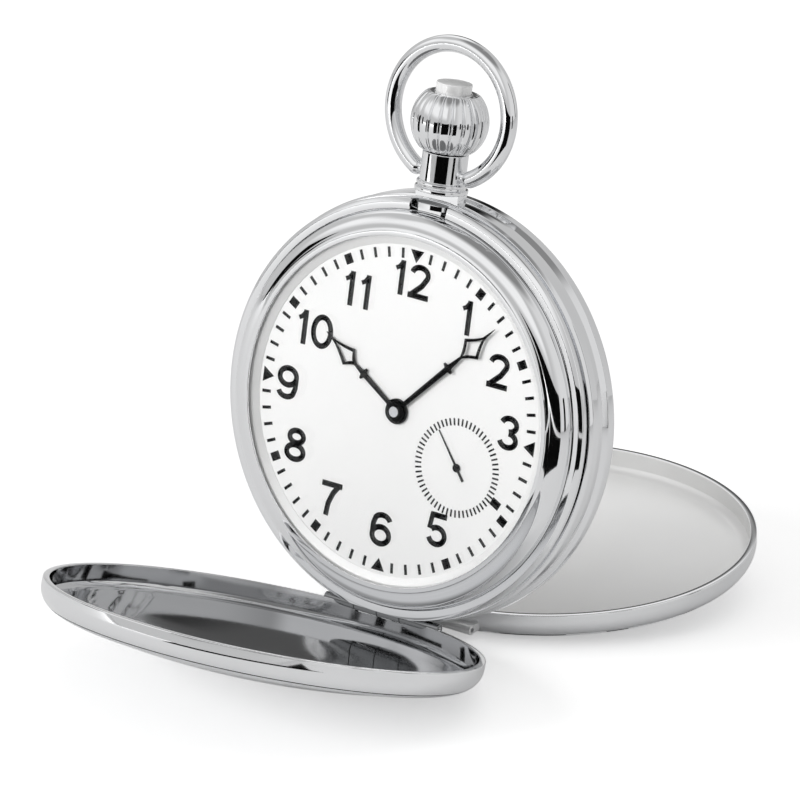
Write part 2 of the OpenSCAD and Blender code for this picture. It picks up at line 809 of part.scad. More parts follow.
module dial_marks() {
    color(black) stand()
        slab(0, print_t) {
            for (i = [0 : 59])
                if (i % 15 == 0) {
                    top = track_r + mark_len / 2;
                    mark_at(0, i * 6)
                        polygon([[-triangle_w / 2, top], [triangle_w / 2, top],
                            [0, top - triangle_h]]);
                } else {
                    mark_at(track_r, i * 6)
                        square([i % 5 == 0 ? mark_thick : mark_thin, mark_len], center = true);
                }
            mark_at(track_r - baton_at[1], baton_at[0])
                square(baton, center = true);
            translate(seconds_at())
                for (i = [0 : 59])
                    mark_at(seconds_r, i * 6)
                        square([tick_w, tick_len], center = true);
        }
}

// Upright figures one unit high, each made of strokes of width ink
ink = 0.165;
module oval(c, rx, ry) {
    p = arc(c, rx, ry, 0, 360, 40);
    q = arc(c, rx - ink, ry - ink, 0, 360, 40);
    difference() {
        polygon(p);
        polygon(q);
    }
}
module figure(n) {
    h = ink / 2;
    if (n == 0)
        oval([0, 0.5], 0.38, 0.5);
    if (n == 1) {
        translate([-0.01, 0])
            square([ink, 1]);
        stroke([[-0.15, 0.74], [-0.04, 0.8], [0.06, 0.94]], ink * 0.8);
    }
    if (n == 2)
        {
            stroke(concat(arc([0, 0.71], 0.27, 0.29 - h, 172, -20, 12), [[0.1, 0.4], [-0.26, 0.08]]), ink);
            translate([-0.35, 0])
                square([0.7, ink]);
        }
    if (n == 3) {
        stroke(arc([-0.005, 0.725], 0.25, 0.275 - h, 165, -88, 14), ink);
        stroke(arc([0, 0.285], 0.27, 0.285 - h, 88, -168, 14), ink);
    }
    if (n == 5) {
        translate([-0.26, 1 - ink])
            square([0.54, ink]);
        stroke([[-0.2, 0.98], [-0.27, 0.5]], ink * 0.9);
        stroke(arc([0, 0.325], 0.27, 0.325 - h, 135, -162, 16), ink);
    }
    if (n == 6) {
        oval([0, 0.325], 0.37, 0.325);
        stroke(concat(arc([0.01, 0.72], 0.27, 0.28 - h, 15, 150, 9), [[-0.285, 0.62], [-0.285, 0.3]]), ink);
    }
    if (n == 7) {
        translate([-0.35, 1 - ink])
            square([0.7, ink]);
        stroke([[0.26, 0.96], [0.06, 0.68], [-0.07, 0.36], [-0.11, 0]], ink);
    }
    if (n == 8) {
        oval([0, 0.74], 0.32, 0.26);
        oval([0, 0.29], 0.37, 0.29);
    }
    if (n == 9)
        translate([0, 1])
            rotate(180)
                figure(6);
}

module numeral(hour) {
    tens = floor(hour / 10);
    units = hour % 10;
    gap = units == 1 ? 0.55 : 0.68;
    lead = units == 1 ? 0.5 : 0.66; // share of the gap that lies left of the numeral's middle
    scale(numeral_h)
        translate([0, -0.5])
            if (tens > 0) {
                translate([-gap * lead, 0])
                    figure(tens);
                translate([gap * (1 - lead), 0])
                    figure(units);
            } else {
                figure(units);
            }
}

// Numerals: the hour, its clock angle and how far it lies outside the numeral circle
numeral_places = [[1, 31, 0.25], [2, 59, 0.3], [3, 86, 0.6], [5, 149, -0.35], [6, 180.8, -0.6],
    [7, 211.7, -0.25], [8, 241.5, 0.45], [9, 269, 0.8], [10, 298, -0.5], [11, 329.2, -0.05],
    [12, -0.6, 0.7]];
module dial_numerals() {
    color(black) stand()
        slab(0, print_t)
            for (place = numeral_places)
                translate(polar(numeral_r + place[2], place[1]))
                    numeral(place[0]);
}

// Hands. Each lies along +Y before it is turned to its clock angle.
minute_len = track_r - 1.1;
hour_len = numeral_r - 1.9;
second_len = seconds_r - 0.5;
minute_at = 43.8; // clock angles at rest: seven minutes past ten
hour_at = -57.3;
second_at = 322;
second_z = 0.07; // rear faces of the hands over the dial
hour_z = 0.22;
minute_z = 0.42;
hand_t = 0.1;
// Places along a hand: its cross collar, and the foot, widest part and head of its lozenge
hour_marks = [0.47, 0.565, 0.68, 0.95];
minute_marks = [0.53, 0.636, 0.766, 0.93];

// The lozenge's sides are drawn in: half its width grows with a power of the way along
function hollow_side(w, a, b, n) = [for (i = [0 : n]) [w / 2 * pow(i / n, 1.45), a + (b - a) * i / n]];
module hand_shape(length, w, lozenge_w, marks) {
    cross = length * marks[0];
    foot = length * marks[1];
    mid = length * marks[2];
    head = length * marks[3];
    edge = 0.26;
    module star(w, a, b) {
        n = 6;
        low = hollow_side(w, a, mid, n);
        high = hollow_side(w, b, mid, n);
        half = concat(low, [for (i = [n - 1 : -1 : 0]) high[i]]);
        last = len(half) - 1;
        polygon(concat(half, [for (i = [last - 1 : -1 : 1]) [-half[i][0], half[i][1]]]));
    }
    difference() {
        star(lozenge_w, foot, head);
        star(lozenge_w - 3.4 * edge, foot + 3 * edge, head - 3 * edge);
    }
    polygon([[-w * 0.42, 0], [w * 0.42, 0], [w / 2, cross], [w * 0.22, foot + 0.6],
        [-w * 0.22, foot + 0.6], [-w / 2, cross]]);
    polygon([[-w * 0.3, head - 0.9], [w * 0.3, head - 0.9], [0.03, length], [-0.03, length]]);
    // cross collar
    translate([0, cross])
        polygon([[-0.75, -0.12], [-0.3, -0.28], [0.3, -0.28], [0.75, -0.12], [0.75, 0.12],
            [0.3, 0.28], [-0.3, 0.28], [-0.75, 0.12]]);
}

boss_r = [1.5, 1.25]; // hubs of the hour and minute hands
pipe_r = 0.95; // outer radius of the hour wheel's pipe
cannon_r = 0.62; // outer radius of the cannon pinion's pipe
run = 0.04; // running clearance of arbors and pipes
module hour_hand() {
    color(black) stand()
        rotate(-hour_at)
            difference() {
                union() {
                    slab(hour_z, hour_z + hand_t)
                        hand_shape(hour_len, 0.62, 2.6, hour_marks);
                    disc(boss_r[0], hour_z - 0.15, hour_z + hand_t);
                }
                disc(pipe_r, -1, 1);
            }
}

module minute_hand() {
    color(black) stand()
        rotate(-minute_at)
            difference() {
                union() {
                    slab(minute_z, minute_z + hand_t)
                        hand_shape(minute_len, 0.66, 2.9, minute_marks);
                    disc(boss_r[1], minute_z - touch, minute_z + 0.3);
                }
                disc(cannon_r, -1, 1.5);
            }
}

module seconds_hand() {
    color(black) stand()
        translate(concat(seconds_at(), [0]))
            rotate(-second_at)
                difference() {
                    union() {
                        slab(second_z, second_z + 0.08) {
                            polygon([[-0.13, 0], [0.13, 0], [0.05, second_len], [-0.05, second_len]]);
                            polygon([[-0.15, -1.75], [0.15, -1.75], [0.12, 0], [-0.12, 0]]);
                        }
                        disc(0.5, second_z, second_z + 0.1);
                        disc(0.28, second_z - 0.25, second_z + touch);
                    }
                    disc(pivot_r, -1, second_z + 0.06);
                }
}

// Teeth (wheel, pinion) and modules of each mesh
barrel_n = 78;
centre_p = 12;
barrel_m = 1.95 * plan;
centre_n = 80;
third_p = 10;
centre_m = 1.4 * plan;
third_n = 75;
fourth_p = 10;
third_m = 1.25 * plan;
fourth_n = 80;
escape_p = 8;
fourth_m = 1.1 * plan;
escape_n = 15;
escape_r = 29.3 * plan; // radius of the escape wheel's tips
cannon_n = 12;
minute_n = 36;
cannon_m = 1.25 * plan;
minute_p = 10;
hour_n = 40;
hour_m = 1.2 * plan;
ratchet_n = 42;
crown_n = 29;
post_r = 0.6; // radius of the post that the crown wheel turns on
ratchet_m = 2.2 * plan;
contrate_r = 28.9 * plan; // radius where the crown wheel meets the winding pinion

// Movement. Places of the arbors in the dial frame.
centre_at = [0, 0];
barrel_at = polar((barrel_n + centre_p) * barrel_m / 2, -42);
third_at = polar((centre_n + third_p) * centre_m / 2, 91);
fourth_at = seconds_at();
escape_at = fourth_at + polar((fourth_n + escape_p) * fourth_m / 2, 216.8);
pallet_at = escape_at + polar(escape_r / cos(30), 256);
balance_at = plan * [-8.8, -102.5];
crown_wheel_at = [0, barrel_at[1]
    + sqrt(pow((ratchet_n + crown_n) * ratchet_m / 2, 2) - pow(barrel_at[0], 2))];
minute_wheel_at = polar((cannon_n + minute_n) * cannon_m / 2, 200);
ratchet_r = ratchet_n * ratchet_m / 2;
function toward(p, q) = atan2(q[1] - p[1], q[0] - p[0]);

// Levels of the train, as Z of each rear face
wheel_z = [-4.22, -3.6, -3.9, -4.35]; // centre, third, fourth and escape wheels
pallet_t = 0.22;

module gear(n, m, phase, z, t) {
    slab(z, z + t)
        teeth(n, m, phase);
}
module arbor(z0, z1, r, pivot_lo, pivot_hi) {
    disc(r, z0, z1);
    disc(pivot_r, pivot_lo, z0 + eps);
    disc(pivot_r, z1 - eps, pivot_hi);
}
module placed(p) {
    stand()
        translate(concat(p, [0]))
            children();
}
pivot_in = 0.5; // length of a pivot in its jewel

module cannon_pinion() {
    z = plate_front + 0.1;
    color(steel) placed(centre_at)
        difference() {
            union() {
                gear(cannon_n, cannon_m, toward(centre_at, minute_wheel_at), z, 0.3);
                disc(cannon_r, z, minute_z + 0.42);
            }
            disc(arbor_r, z - 1, minute_z + 0.1);
        }
}

module hour_wheel() {
    z = plate_front + 0.45;
    color(gold) placed(centre_at)
        difference() {
            union() {
                slab(z, z + 0.2)
                    difference() {
                        teeth(hour_n, hour_m, toward(centre_at, minute_wheel_at) + 180 / hour_n);
                        circle(r = cannon_r + run);
                    }
                disc(pipe_r, z, hour_z + hand_t + 0.02);
            }
            disc(cannon_r + run, z - 1, 1);
        }
}

module minute_wheel() {
    z = plate_front + 0.15;
    phase = toward(minute_wheel_at, centre_at);
    color(gold) placed(minute_wheel_at)
        difference() {
            union() {
                gear(minute_n, cannon_m, phase + 180 / minute_n, z, 0.2);
                gear(minute_p, hour_m, phase, z, 0.55);
            }
            disc(arbor_r + run, z - 1, z + 1);
        }
}

// Plate and bridges, each cut from a union of round pads and straight arms
bridge_foot_r = plate_r - 1.3; // distance of the bridges' feet from the centre
foot_pad = 1;
barrel_feet = [for (a = [-62, -14, 22]) polar(bridge_foot_r, a)];
train_feet = [for (a = [75, 112, 150]) polar(bridge_foot_r, a)];
cock_feet = plan * [[-36, -164], [12, -167.5]];
pallet_feet = plan * [[23, -63], [41, -127]];
module pads(points, r) {
    for (p = points)
        translate(p)
            circle(r = r);
}
module chain(points, w) {
    for (i = [0 : len(points) - 2])
        bar(points[i], points[i + 1], w);
}
module bores(points, r, z0, z1) {
    for (p = points)
        translate(concat(p, [0]))
            disc(r, z0, z1);
}

pocket_z = -2.2; // floor of the barrel's pocket
pocket_r = (barrel_n / 2 + tooth_tip) * barrel_m + 0.2;
ring_w = 2.1; // width of the plate's rim
module plate_outline() {
    rim = plate_r - ring_w / 2;
    difference() {
        circle(r = plate_r);
        circle(r = plate_r - ring_w);
    }
    pads([centre_at], 2.6);
    pads([barrel_at], 2.4);
    pads([third_at, fourth_at, escape_at, balance_at], 1.6);
    feet = [for (a = dial_foot_at) polar(plate_r - 2, a)];
    pads(concat([pallet_at, minute_wheel_at], pallet_feet, feet), 1.2);
    chain([polar(rim, 75), third_at, centre_at, barrel_at, polar(rim, -42)], arm_w);
    chain([third_at, fourth_at, escape_at, polar(rim, 150)], arm_w);
    chain([fourth_at, polar(rim, 112)], arm_w);
    chain([centre_at, pallet_feet[0], pallet_at, pallet_feet[1], polar(rim, 163)], arm_w);
    chain([pallet_at, balance_at, polar(rim, 186)], arm_w);
    chain([balance_at, polar(rim, 228)], arm_w);
    chain([centre_at, polar(rim, 255)], arm_w);
    chain([barrel_at, polar(rim, -75)], arm_w);
    chain([barrel_at, crown_wheel_at + [-1, 1]], arm_w);
    translate([-3.6, crown_wheel_at[1] - 0.6])
        square([7.2, plate_r - crown_wheel_at[1] - 0.4]);
}

module main_plate() {
    hole = pivot_r + 0.02;
    color(plate_c) stand() {
        difference() {
            slab(plate_front, plate_back)
                plate_outline();
            translate(concat(barrel_at, [0]))
                disc(pocket_r, pocket_z, plate_back - 1);
            // seats of the jewels and the holes of the plain pivots
            bores([third_at, fourth_at, escape_at, pallet_at, balance_at], jewel_r,
                plate_front - 1, plate_back - 1 + 0.01);
            bores([fourth_at], pivot_r + 0.1, plate_front + 1, plate_back - 1);
            bores([barrel_at], barrel_pivot + run, plate_front + 1, plate_back - 1);
            bores([centre_at], arbor_r + run, plate_front + 1, plate_back - 1);
            // way of the stem and room for the winding pinion
            translate([0, 0, -stem_z])
                rod_y(stem_r + 0.1, pinion_y - 4.5, plate_r + 1);
            translate([-pinion_r - 0.3, pinion_y - pinion_l / 2 - 0.25, plate_back - 1])
                cube([2 * pinion_r + 0.6, pinion_l + 0.5, 6]);
            // dial feet and their screws
            for (a = dial_foot_at) {
                translate(concat(polar(plate_r - 2, a), [0]))
                    disc(0.4 + fit, -dial_t, plate_back - 1);
                rotate(-a)
                    translate([0, 0, (plate_front + plate_back) / 2])
                        rod_y(0.3, plate_r - 1.65, plate_r + 1);
            }
            bores(concat(barrel_feet, train_feet, cock_feet, pallet_feet), screw_stem,
                plate_back + 1, plate_back - 1);
        }
        // post of the minute wheel
        translate(concat(minute_wheel_at, [0]))
            disc(arbor_r, plate_front - touch, plate_front + 0.8);
    }
}
screw_stem = 0.35; // radius of a bridge screw's thread
barrel_pivot = 0.45;
pinion_y = crown_wheel_at[1] + contrate_r; // height of the winding pinion above the dial centre
pinion_l = 1.1; // length of the winding pinion
pinion_r = 2.45;

module bridge_outline_b() {
    pads([barrel_at], 2.3);
    pads([centre_at, crown_wheel_at], 1.9);
    pads(barrel_feet, foot_pad + 0.15);
    chain([barrel_feet[0], barrel_at, centre_at], arm_w + 0.3);
    chain([barrel_feet[1], barrel_at, crown_wheel_at, barrel_feet[2]], arm_w);
    bar(barrel_at + polar(1.2, 200), click_at, arm_w - 0.3);
    bar(click_at, spring_foot, 1);
    pads([click_at], 1.1);
    pads([spring_foot], 0.7);
}
module bridge_outline_t() {
    pads([third_at, fourth_at], 1.5);
    pads([escape_at], 1.25);
    pads(train_feet, foot_pad + 0.15);
    chain([train_feet[0], third_at, fourth_at, escape_at, train_feet[2]], arm_w);
    chain([train_feet[1], fourth_at], arm_w);
}
module feet(points, r) {
    slab(plate_back, bridge_front - bridge_t / 2)
        pads(points, r);
}

module barrel_bridge() {
    color(plate_c) stand()
        difference() {
            union() {
                slab(bridge_front, bridge_back)
                    bridge_outline_b();
                feet(barrel_feet, foot_pad);
                // post that the crown wheel turns on
                translate(concat(crown_wheel_at, [0]))
                    disc(post_r, bridge_back + bridge_t / 2, ratchet_z);
            }
            bores(concat(barrel_feet, [crown_wheel_at, click_at, spring_foot]), screw_stem,
                plate_back + 1, bridge_back - 1);
            bores([barrel_at], arbor_b + run, plate_back + 1, bridge_back - 1);
            bores([centre_at], jewel_r, plate_back + 1, bridge_back - 1);
            translate([-pinion_r - 0.3, pinion_y - pinion_l / 2 - 0.25, bridge_back - 1])
                cube([2 * pinion_r + 0.6, pinion_l + 0.5, 6]);
        }
}

module train_bridge() {
    color(plate_c) stand()
        difference() {
            union() {
                slab(bridge_front, bridge_back)
                    bridge_outline_t();
                feet(train_feet, foot_pad);
            }
            bores(train_feet, screw_stem, plate_back + 1, bridge_back - 1);
            bores([third_at, fourth_at, escape_at], jewel_r, plate_back + 1, bridge_back - 1);
        }
}

pallet_bridge_z = -4.5; // front face of the pallet bridge
pallet_bridge_t = 0.35;
pallet_screw_r = 0.55;
pallet_head = 0.2; // thickness of the pallet bridge's screw heads, flush in their seats
pallet_seat = pallet_bridge_z - pallet_bridge_t + pallet_head;
module pallet_bridge() {
    color(plate_c) stand()
        difference() {
            union() {
                slab(pallet_bridge_z, pallet_bridge_z - pallet_bridge_t) {
                    chain([pallet_feet[0], pallet_at, pallet_feet[1]], 1.3);
                    pads(concat(pallet_feet, [pallet_at]), 0.95);
                }
                slab(plate_back, pallet_bridge_z - touch)
                    pads(pallet_feet, 0.8);
            }
            bores(pallet_feet, screw_stem, plate_back + 1, pallet_bridge_z - 1);
            bores(pallet_feet, pallet_screw_r + fit, pallet_seat, pallet_bridge_z - 1);
            bores([pallet_at], jewel_r - 0.1, plate_back + 1, pallet_bridge_z - 1);
        }
}

cock_z = -5.85; // front face of the balance cock
cock_t = 0.85;
module balance_cock() {
    color(plate_c) stand()
        difference() {
            union() {
                slab(cock_z, cock_z - cock_t) {
                    pads([balance_at], 2);
                    pads([stud_at], 0.6);
                    chain([balance_at, stud_at], 1);
                    pads(cock_feet, 1.15);
                    chain([cock_feet[0], balance_at + [-0.5, -1], cock_feet[1]], 1.5);
                }
                slab(plate_back, cock_z - touch)
                    pads(cock_feet, 1.05);
                // hairspring stud
                translate(concat(stud_at, [0]))
                    disc(stud_r, spring_z + spring_t, cock_z - touch);
            }
            bores(cock_feet, screw_stem, plate_back + 1, cock_z - cock_t - 1);
            bores([balance_at], jewel_r, plate_back + 1, cock_z - cock_t - 1);
        }
}

// Barrel and winding work
drum_z = [-2.3, -3.85]; // front and rear faces of the barrel
arbor_b = 0.9; // radius of the barrel arbor's core
module mainspring_barrel() {
    wall = 0.45;
    r_out = (barrel_n / 2 - tooth_root) * barrel_m - 0.15;
    color(gold) placed(barrel_at)
        difference() {
            union() {
                disc(r_out, drum_z[0], drum_z[1]);
                gear(barrel_n, barrel_m, toward(barrel_at, centre_at), drum_z[1], 0.35);
            }
            disc(r_out - wall, drum_z[0] - 0.3, drum_z[1] + 0.25);
            disc(arbor_b + run, 0, drum_z[1] - 1);
        }
}

module barrel_arbor() {
    color(steel) placed(barrel_at)
        difference() {
            union() {
                disc(barrel_pivot, plate_front, drum_z[0] + 0.05);
                disc(arbor_b, drum_z[0] + 0.05, bridge_back);
                translate([-0.5, -0.5, ratchet_z])
                    cube([1, 1, bridge_back - ratchet_z + touch]);
            }
            disc(0.25, ratchet_z - 1, ratchet_z + 1.2);
        }
}

module mainspring() {
    turns = 7;
    r0 = arbor_b + 0.12;
    r1 = (barrel_n / 2 - tooth_root) * barrel_m - 0.15 - 0.6;
    n = turns * 30;
    w = 0.14;
    function spiral_r(i) = r0 + (r1 - r0) * i / n;
    color(blued) placed(barrel_at)
        slab(drum_z[0] - 0.4, drum_z[1] + 0.35)
            polygon(concat(
                [for (i = [0 : n]) (spiral_r(i) + w / 2) * [cos(12 * i), sin(12 * i)]],
                [for (i = [n : -1 : 0]) (spiral_r(i) - w / 2) * [cos(12 * i), sin(12 * i)]]));
}

module ratchet_screw() {
    color(steel) placed(barrel_at)
        difference() {
            union() {
                disc(1.1, ratchet_z, ratchet_z - 0.4);
                disc(0.25, ratchet_z - touch, ratchet_z + 1.2);
            }
            rotate(15)
                translate([-0.12, -2, ratchet_z - 0.5])
                    cube([0.24, 4, 0.28]);
        }
}

ratchet_z = -6.1; // rear face of the ratchet and crown wheels
ratchet_t = 0.42;
module ratchet_wheel() {
    phase = toward(barrel_at, crown_wheel_at);
    color(steel) placed(barrel_at)
        difference() {
            slab(ratchet_z, ratchet_z + ratchet_t)
                difference() {
                    teeth(ratchet_n, ratchet_m, phase);
                    square(1, center = true);
                }
            ring(ratchet_r - 1, 1.9, ratchet_z - 1, ratchet_z + 0.08);
        }
}

module crown_wheel() {
    phase = toward(crown_wheel_at, barrel_at) + 180 / crown_n;
    color(steel) placed(crown_wheel_at) {
        difference() {
            union() {
                slab(ratchet_z, ratchet_z + 0.25)
                    difference() {
                        teeth(crown_n, ratchet_m, phase);
                        circle(r = post_r);
                    }
                disc(contrate_r - 0.59, ratchet_z, bridge_back - 0.03);
                // contrate teeth on the front face
                for (i = [0 : crown_n - 1])
                    rotate(90 + i * 360 / crown_n)
                        translate([contrate_r - 0.29, -0.1, ratchet_z + 0.2])
                            cube([0.45, 0.2, 0.3]);
            }
            disc(post_r + run, 0, ratchet_z - 1);
        }
    }
}

module winding_pinion() {
    n = 24;
    m = 2 * pinion_r / (n + 2 * tooth_tip);
    color(steel) stand()
        translate([0, pinion_y, -stem_z])
            rotate([-90, 0, 0])
                translate([0, 0, -pinion_l / 2])
                    linear_extrude(pinion_l)
                        difference() {
                            teeth(n, m, 90 + 180 / n);
                            square(square_w + 2 * 0.02, center = true);
                        }
}

click_at = barrel_at + polar(ratchet_r + 1.75, 200);
click_tip = barrel_at + polar(ratchet_r + 0.45, 221);
module click() {
    color(steel) stand()
        difference() {
            slab(ratchet_z, ratchet_z + ratchet_t) {
                pads([click_at], 0.8);
                bar(click_at, click_tip, 0.3);
            }
            bores([click_at], screw_stem + run, 0, ratchet_z - 1);
        }
}

// The spring's blade bows round the click's head and ends beside its finger, clear of its travel
spring_foot = click_at + [-0.55, -1.95];
click_spring_t = 0.3;
module click_spring() {
    along = (click_tip - click_at) / norm(click_tip - click_at);
    blade_end = click_at + 1.15 * along + 0.5 * [-along[1], along[0]];
    color(blued) stand()
        slab(bridge_back, bridge_back - click_spring_t)
            difference() {
                union() {
                    pads([spring_foot], 0.55);
                    chain([spring_foot, click_at + [-1.3, -1], click_at + [-1.45, -0.1], blade_end], 0.12);
                }
                translate(spring_foot)
                    circle(r = screw_stem);
            }
}

// Going train
module centre_wheel() {
    z = wheel_z[0];
    color(gold) placed(centre_at) {
        slab(z, z + wheel_t)
            wheel_shape(centre_n, centre_m, toward(centre_at, third_at), 0.7, 5, 1.3);
        gear(centre_p, barrel_m, toward(centre_at, barrel_at) + 180 / centre_p, z + wheel_t - eps, 0.55);
        // the arbor runs through the plate and carries the cannon pinion
        disc(arbor_r, bridge_front + 0.1, minute_z + 0.1);
        disc(pivot_r, bridge_front - pivot_in, bridge_front + 0.1 + eps);
    }
}

module third_wheel() {
    z = wheel_z[1];
    color(gold) placed(third_at) {
        slab(z, z + wheel_t)
            wheel_shape(third_n, third_m, toward(third_at, fourth_at), 0.6, 5, 0.8);
        gear(third_p, centre_m, toward(third_at, centre_at) + 180 / third_p, wheel_z[0] - 0.08, 0.38);
        arbor(plate_back - 0.1, bridge_front + 0.1, arbor_r, bridge_front - pivot_in, plate_back + pivot_in);
    }
}

module fourth_wheel() {
    z = wheel_z[2];
    color(gold) placed(fourth_at) {
        slab(z, z + wheel_t)
            wheel_shape(fourth_n, fourth_m, toward(fourth_at, escape_at), 0.55, 5, 0.75);
        gear(fourth_p, third_m, toward(fourth_at, third_at) + 180 / fourth_p, wheel_z[1] - 0.05, 0.32);
        arbor(plate_back - 0.1, bridge_front + 0.1, arbor_r * 0.8, bridge_front - pivot_in,
            second_z + 0.04);
    }
}

module escape_wheel() {
    z = wheel_z[3];
    root = escape_r * 0.8;
    color(steel) placed(escape_at) {
        slab(z, z + 0.2) {
            difference() {
                circle(r = root);
                circle(r = root - 0.4);
            }
            for (i = [0 : escape_n - 1])
                rotate(i * 360 / escape_n)
                    polygon([[root - 0.1, -0.3], [root * 1.02, -0.1], [escape_r, 0.16],
                        [escape_r - 0.06, 0.24], [root - 0.1, 0.26]]);
            spokes(5, root - 0.2, 0.6, 0.3, 0);
        }
        gear(escape_p, fourth_m, toward(escape_at, fourth_at) + 180 / escape_p, wheel_z[2] - 0.05, 0.32);
        arbor(plate_back - 0.1, bridge_front + 0.1, arbor_r * 0.7, bridge_front - pivot_in,
            plate_back + pivot_in);
    }
}

pallet_z = -4.35; // rear face of the pallet fork
fork_reach = 29.5 * plan;
stone_gap = 0.16; // the stones stand this far outside the escape wheel's tips
module pallet_fork() {
    to_escape = toward(pallet_at, escape_at);
    to_balance = toward(pallet_at, balance_at);
    back = toward(escape_at, pallet_at);
    function stone_at(s) = escape_at
        + (escape_r + stone_gap + 0.2) * [cos(back + s * 30), sin(back + s * 30)];
    color(steel) stand()
        slab(pallet_z, pallet_z + pallet_t) {
            pads([pallet_at], 0.5);
            for (s = [-1, 1]) {
                bar(pallet_at, stone_at(s) + 0.25 * [cos(back + s * 45), sin(back + s * 45)], 0.42);
                translate(stone_at(s))
                    rotate(back + s * 30)
                        square([0.4, 0.3], center = true);
            }
            translate(pallet_at)
                rotate(to_balance) {
                    translate([0, -0.17])
                        square([fork_reach - 0.4, 0.34]);
                    difference() {
                        translate([fork_reach - 0.6, -0.5])
                            square([0.6, 1]);
                        translate([fork_reach - 0.35, -0.2])
                            square([1, 0.4]);
                    }
                }
        }
    color(steel) placed(pallet_at)
        arbor(plate_back - 0.1, pallet_bridge_z + 0.1, 0.25, pallet_bridge_z - 0.25, plate_back + pivot_in);
}

balance_z = -5.45; // rear face of the balance rim
balance_h = 0.45;
roller_r = 0.95;
module balance_wheel() {
    to_fork = toward(balance_at, pallet_at);
    color(gold) placed(balance_at) {
        slab(balance_z, balance_z + balance_h)
            difference() {
                circle(r = balance_r);
                circle(r = balance_r - 0.55);
            }
        slab(balance_z + 0.05, balance_z + 0.35)
            spokes(2, balance_r - 0.3, 0.9, 0.55, to_fork + 90);
        // timing screws round the rim
        for (i = [0 : 15])
            rotate(to_fork + 90 + (i + 0.5) * 22.5)
                translate([0, 0, balance_z + balance_h / 2])
                    rotate([0, 90, 0])
                        translate([0, 0, balance_r - 0.2])
                            cylinder(r = 0.18, h = 0.42);
        arbor(plate_back - 0.1, cock_z + 0.1, 0.3, cock_z - pivot_in, plate_back + pivot_in);
        // roller and its impulse pin
        disc(roller_r, pallet_z + pallet_t + 0.12, pallet_z + pallet_t + 0.34);
        rotate(to_fork)
            translate([roller_r - 0.24, 0, 0])
                disc(0.12, pallet_z + 0.05, pallet_z + pallet_t + 0.13);
        // collet of the hairspring
        disc(0.45, spring_z, spring_z + spring_t + 0.05);
    }
}

spring_z = -5.8; // rear edge of the hairspring
spring_t = 0.28;
spring_turns = 5;
spring_in = 0.55;
spring_out = 31 * plan;
stud_r = 0.28;
stud_turn = asin((stud_r + 0.01) / spring_out); // the stud stands just past the spring's end
stud_at = balance_at + spring_out * [cos(60 + stud_turn), sin(60 + stud_turn)];
module hairspring() {
    w = 0.1;
    n = spring_turns * 30;
    function r_at(i) = spring_in + (spring_out - spring_in) * i / n;
    color(blued) placed(balance_at)
        rotate(60)
            slab(spring_z, spring_z + spring_t)
                polygon(concat(
                    [for (i = [0 : n]) (r_at(i) + w / 2) * [cos(12 * i), sin(12 * i)]],
                    [for (i = [n : -1 : 0]) (r_at(i) - w / 2) * [cos(12 * i), sin(12 * i)]]));
}

module regulator() {
    z = cock_z - cock_t;
    color(steel) placed(balance_at)
        slab(z, z - 0.3)
            difference() {
                union() {
                    circle(r = 1.35);
                    rotate(118)
                        polygon([[0, -0.35], [3.2, -0.12], [3.2, 0.12], [0, 0.35]]);
                    rotate(-20)
                        translate([0, -0.3])
                            square([2.1, 0.6]);
                }
                circle(r = jewel_r + 0.15);
            }
}

// Jewels and screws
module jewel(r, hole, z, t) {
    translate([0, 0, z])
        rotate_extrude()
            polygon([[hole, 0], [r, 0], [r, t], [hole + 0.15, t], [hole, t - 0.12]]);
}
module plate_jewels() {
    hole = pivot_r + 0.02;
    color(ruby) stand() {
        for (p = [third_at, escape_at, pallet_at, balance_at, fourth_at])
            translate(concat(p, [0]))
                jewel(jewel_r, hole, plate_back, 0.55);
    }
}
module bridge_jewels() {
    hole = pivot_r + 0.02;
    t = 0.55;
    color(ruby) stand() {
        for (p = [third_at, fourth_at, escape_at])
            translate(concat(p, [bridge_front]))
                mirror([0, 0, 1])
                    jewel(jewel_r, hole, 0, t);
        translate(concat(centre_at, [bridge_front]))
            mirror([0, 0, 1])
                jewel(jewel_r, hole, 0, t);
        translate(concat(pallet_at, [pallet_bridge_z]))
            mirror([0, 0, 1])
                jewel(jewel_r - 0.1, hole, 0, 0.35);
        translate(concat(balance_at, [cock_z]))
            mirror([0, 0, 1])
                jewel(jewel_r, hole, 0, t);
    }
}

module screw(p, z, r, depth, turn, head = 0.4) {
    translate(concat(p, [0]))
        difference() {
            union() {
                disc(r, z, z - head);
                disc(screw_stem, z - head / 2, z + depth);
            }
            rotate(turn)
                translate([-0.1, -2, z - head - 0.1])
                    cube([0.2, 4, 0.1 + head * 0.4]);
        }
}
module bridge_screws() {
    color(steel) stand() {
        for (i = [0 : 2]) {
            screw(barrel_feet[i], bridge_back, screw_r, 3, i * 37 + 10);
            screw(train_feet[i], bridge_back, screw_r, 3, i * 53 + 25);
        }
        for (i = [0 : 1]) {
            screw(cock_feet[i], cock_z - cock_t, screw_r, 4, i * 61 + 5);
            screw(pallet_feet[i], pallet_seat, pallet_screw_r, 1.8, i * 47, pallet_head);
        }
        // screws of the crown wheel, the click and its spring
        screw(crown_wheel_at, ratchet_z - run, 1.2, 1.4, 33);
        screw(click_at, ratchet_z - run, 0.7, 1.4, 70);
        screw(spring_foot, bridge_back - click_spring_t, 0.4, 0.8, 20, 0.2);
    }
}

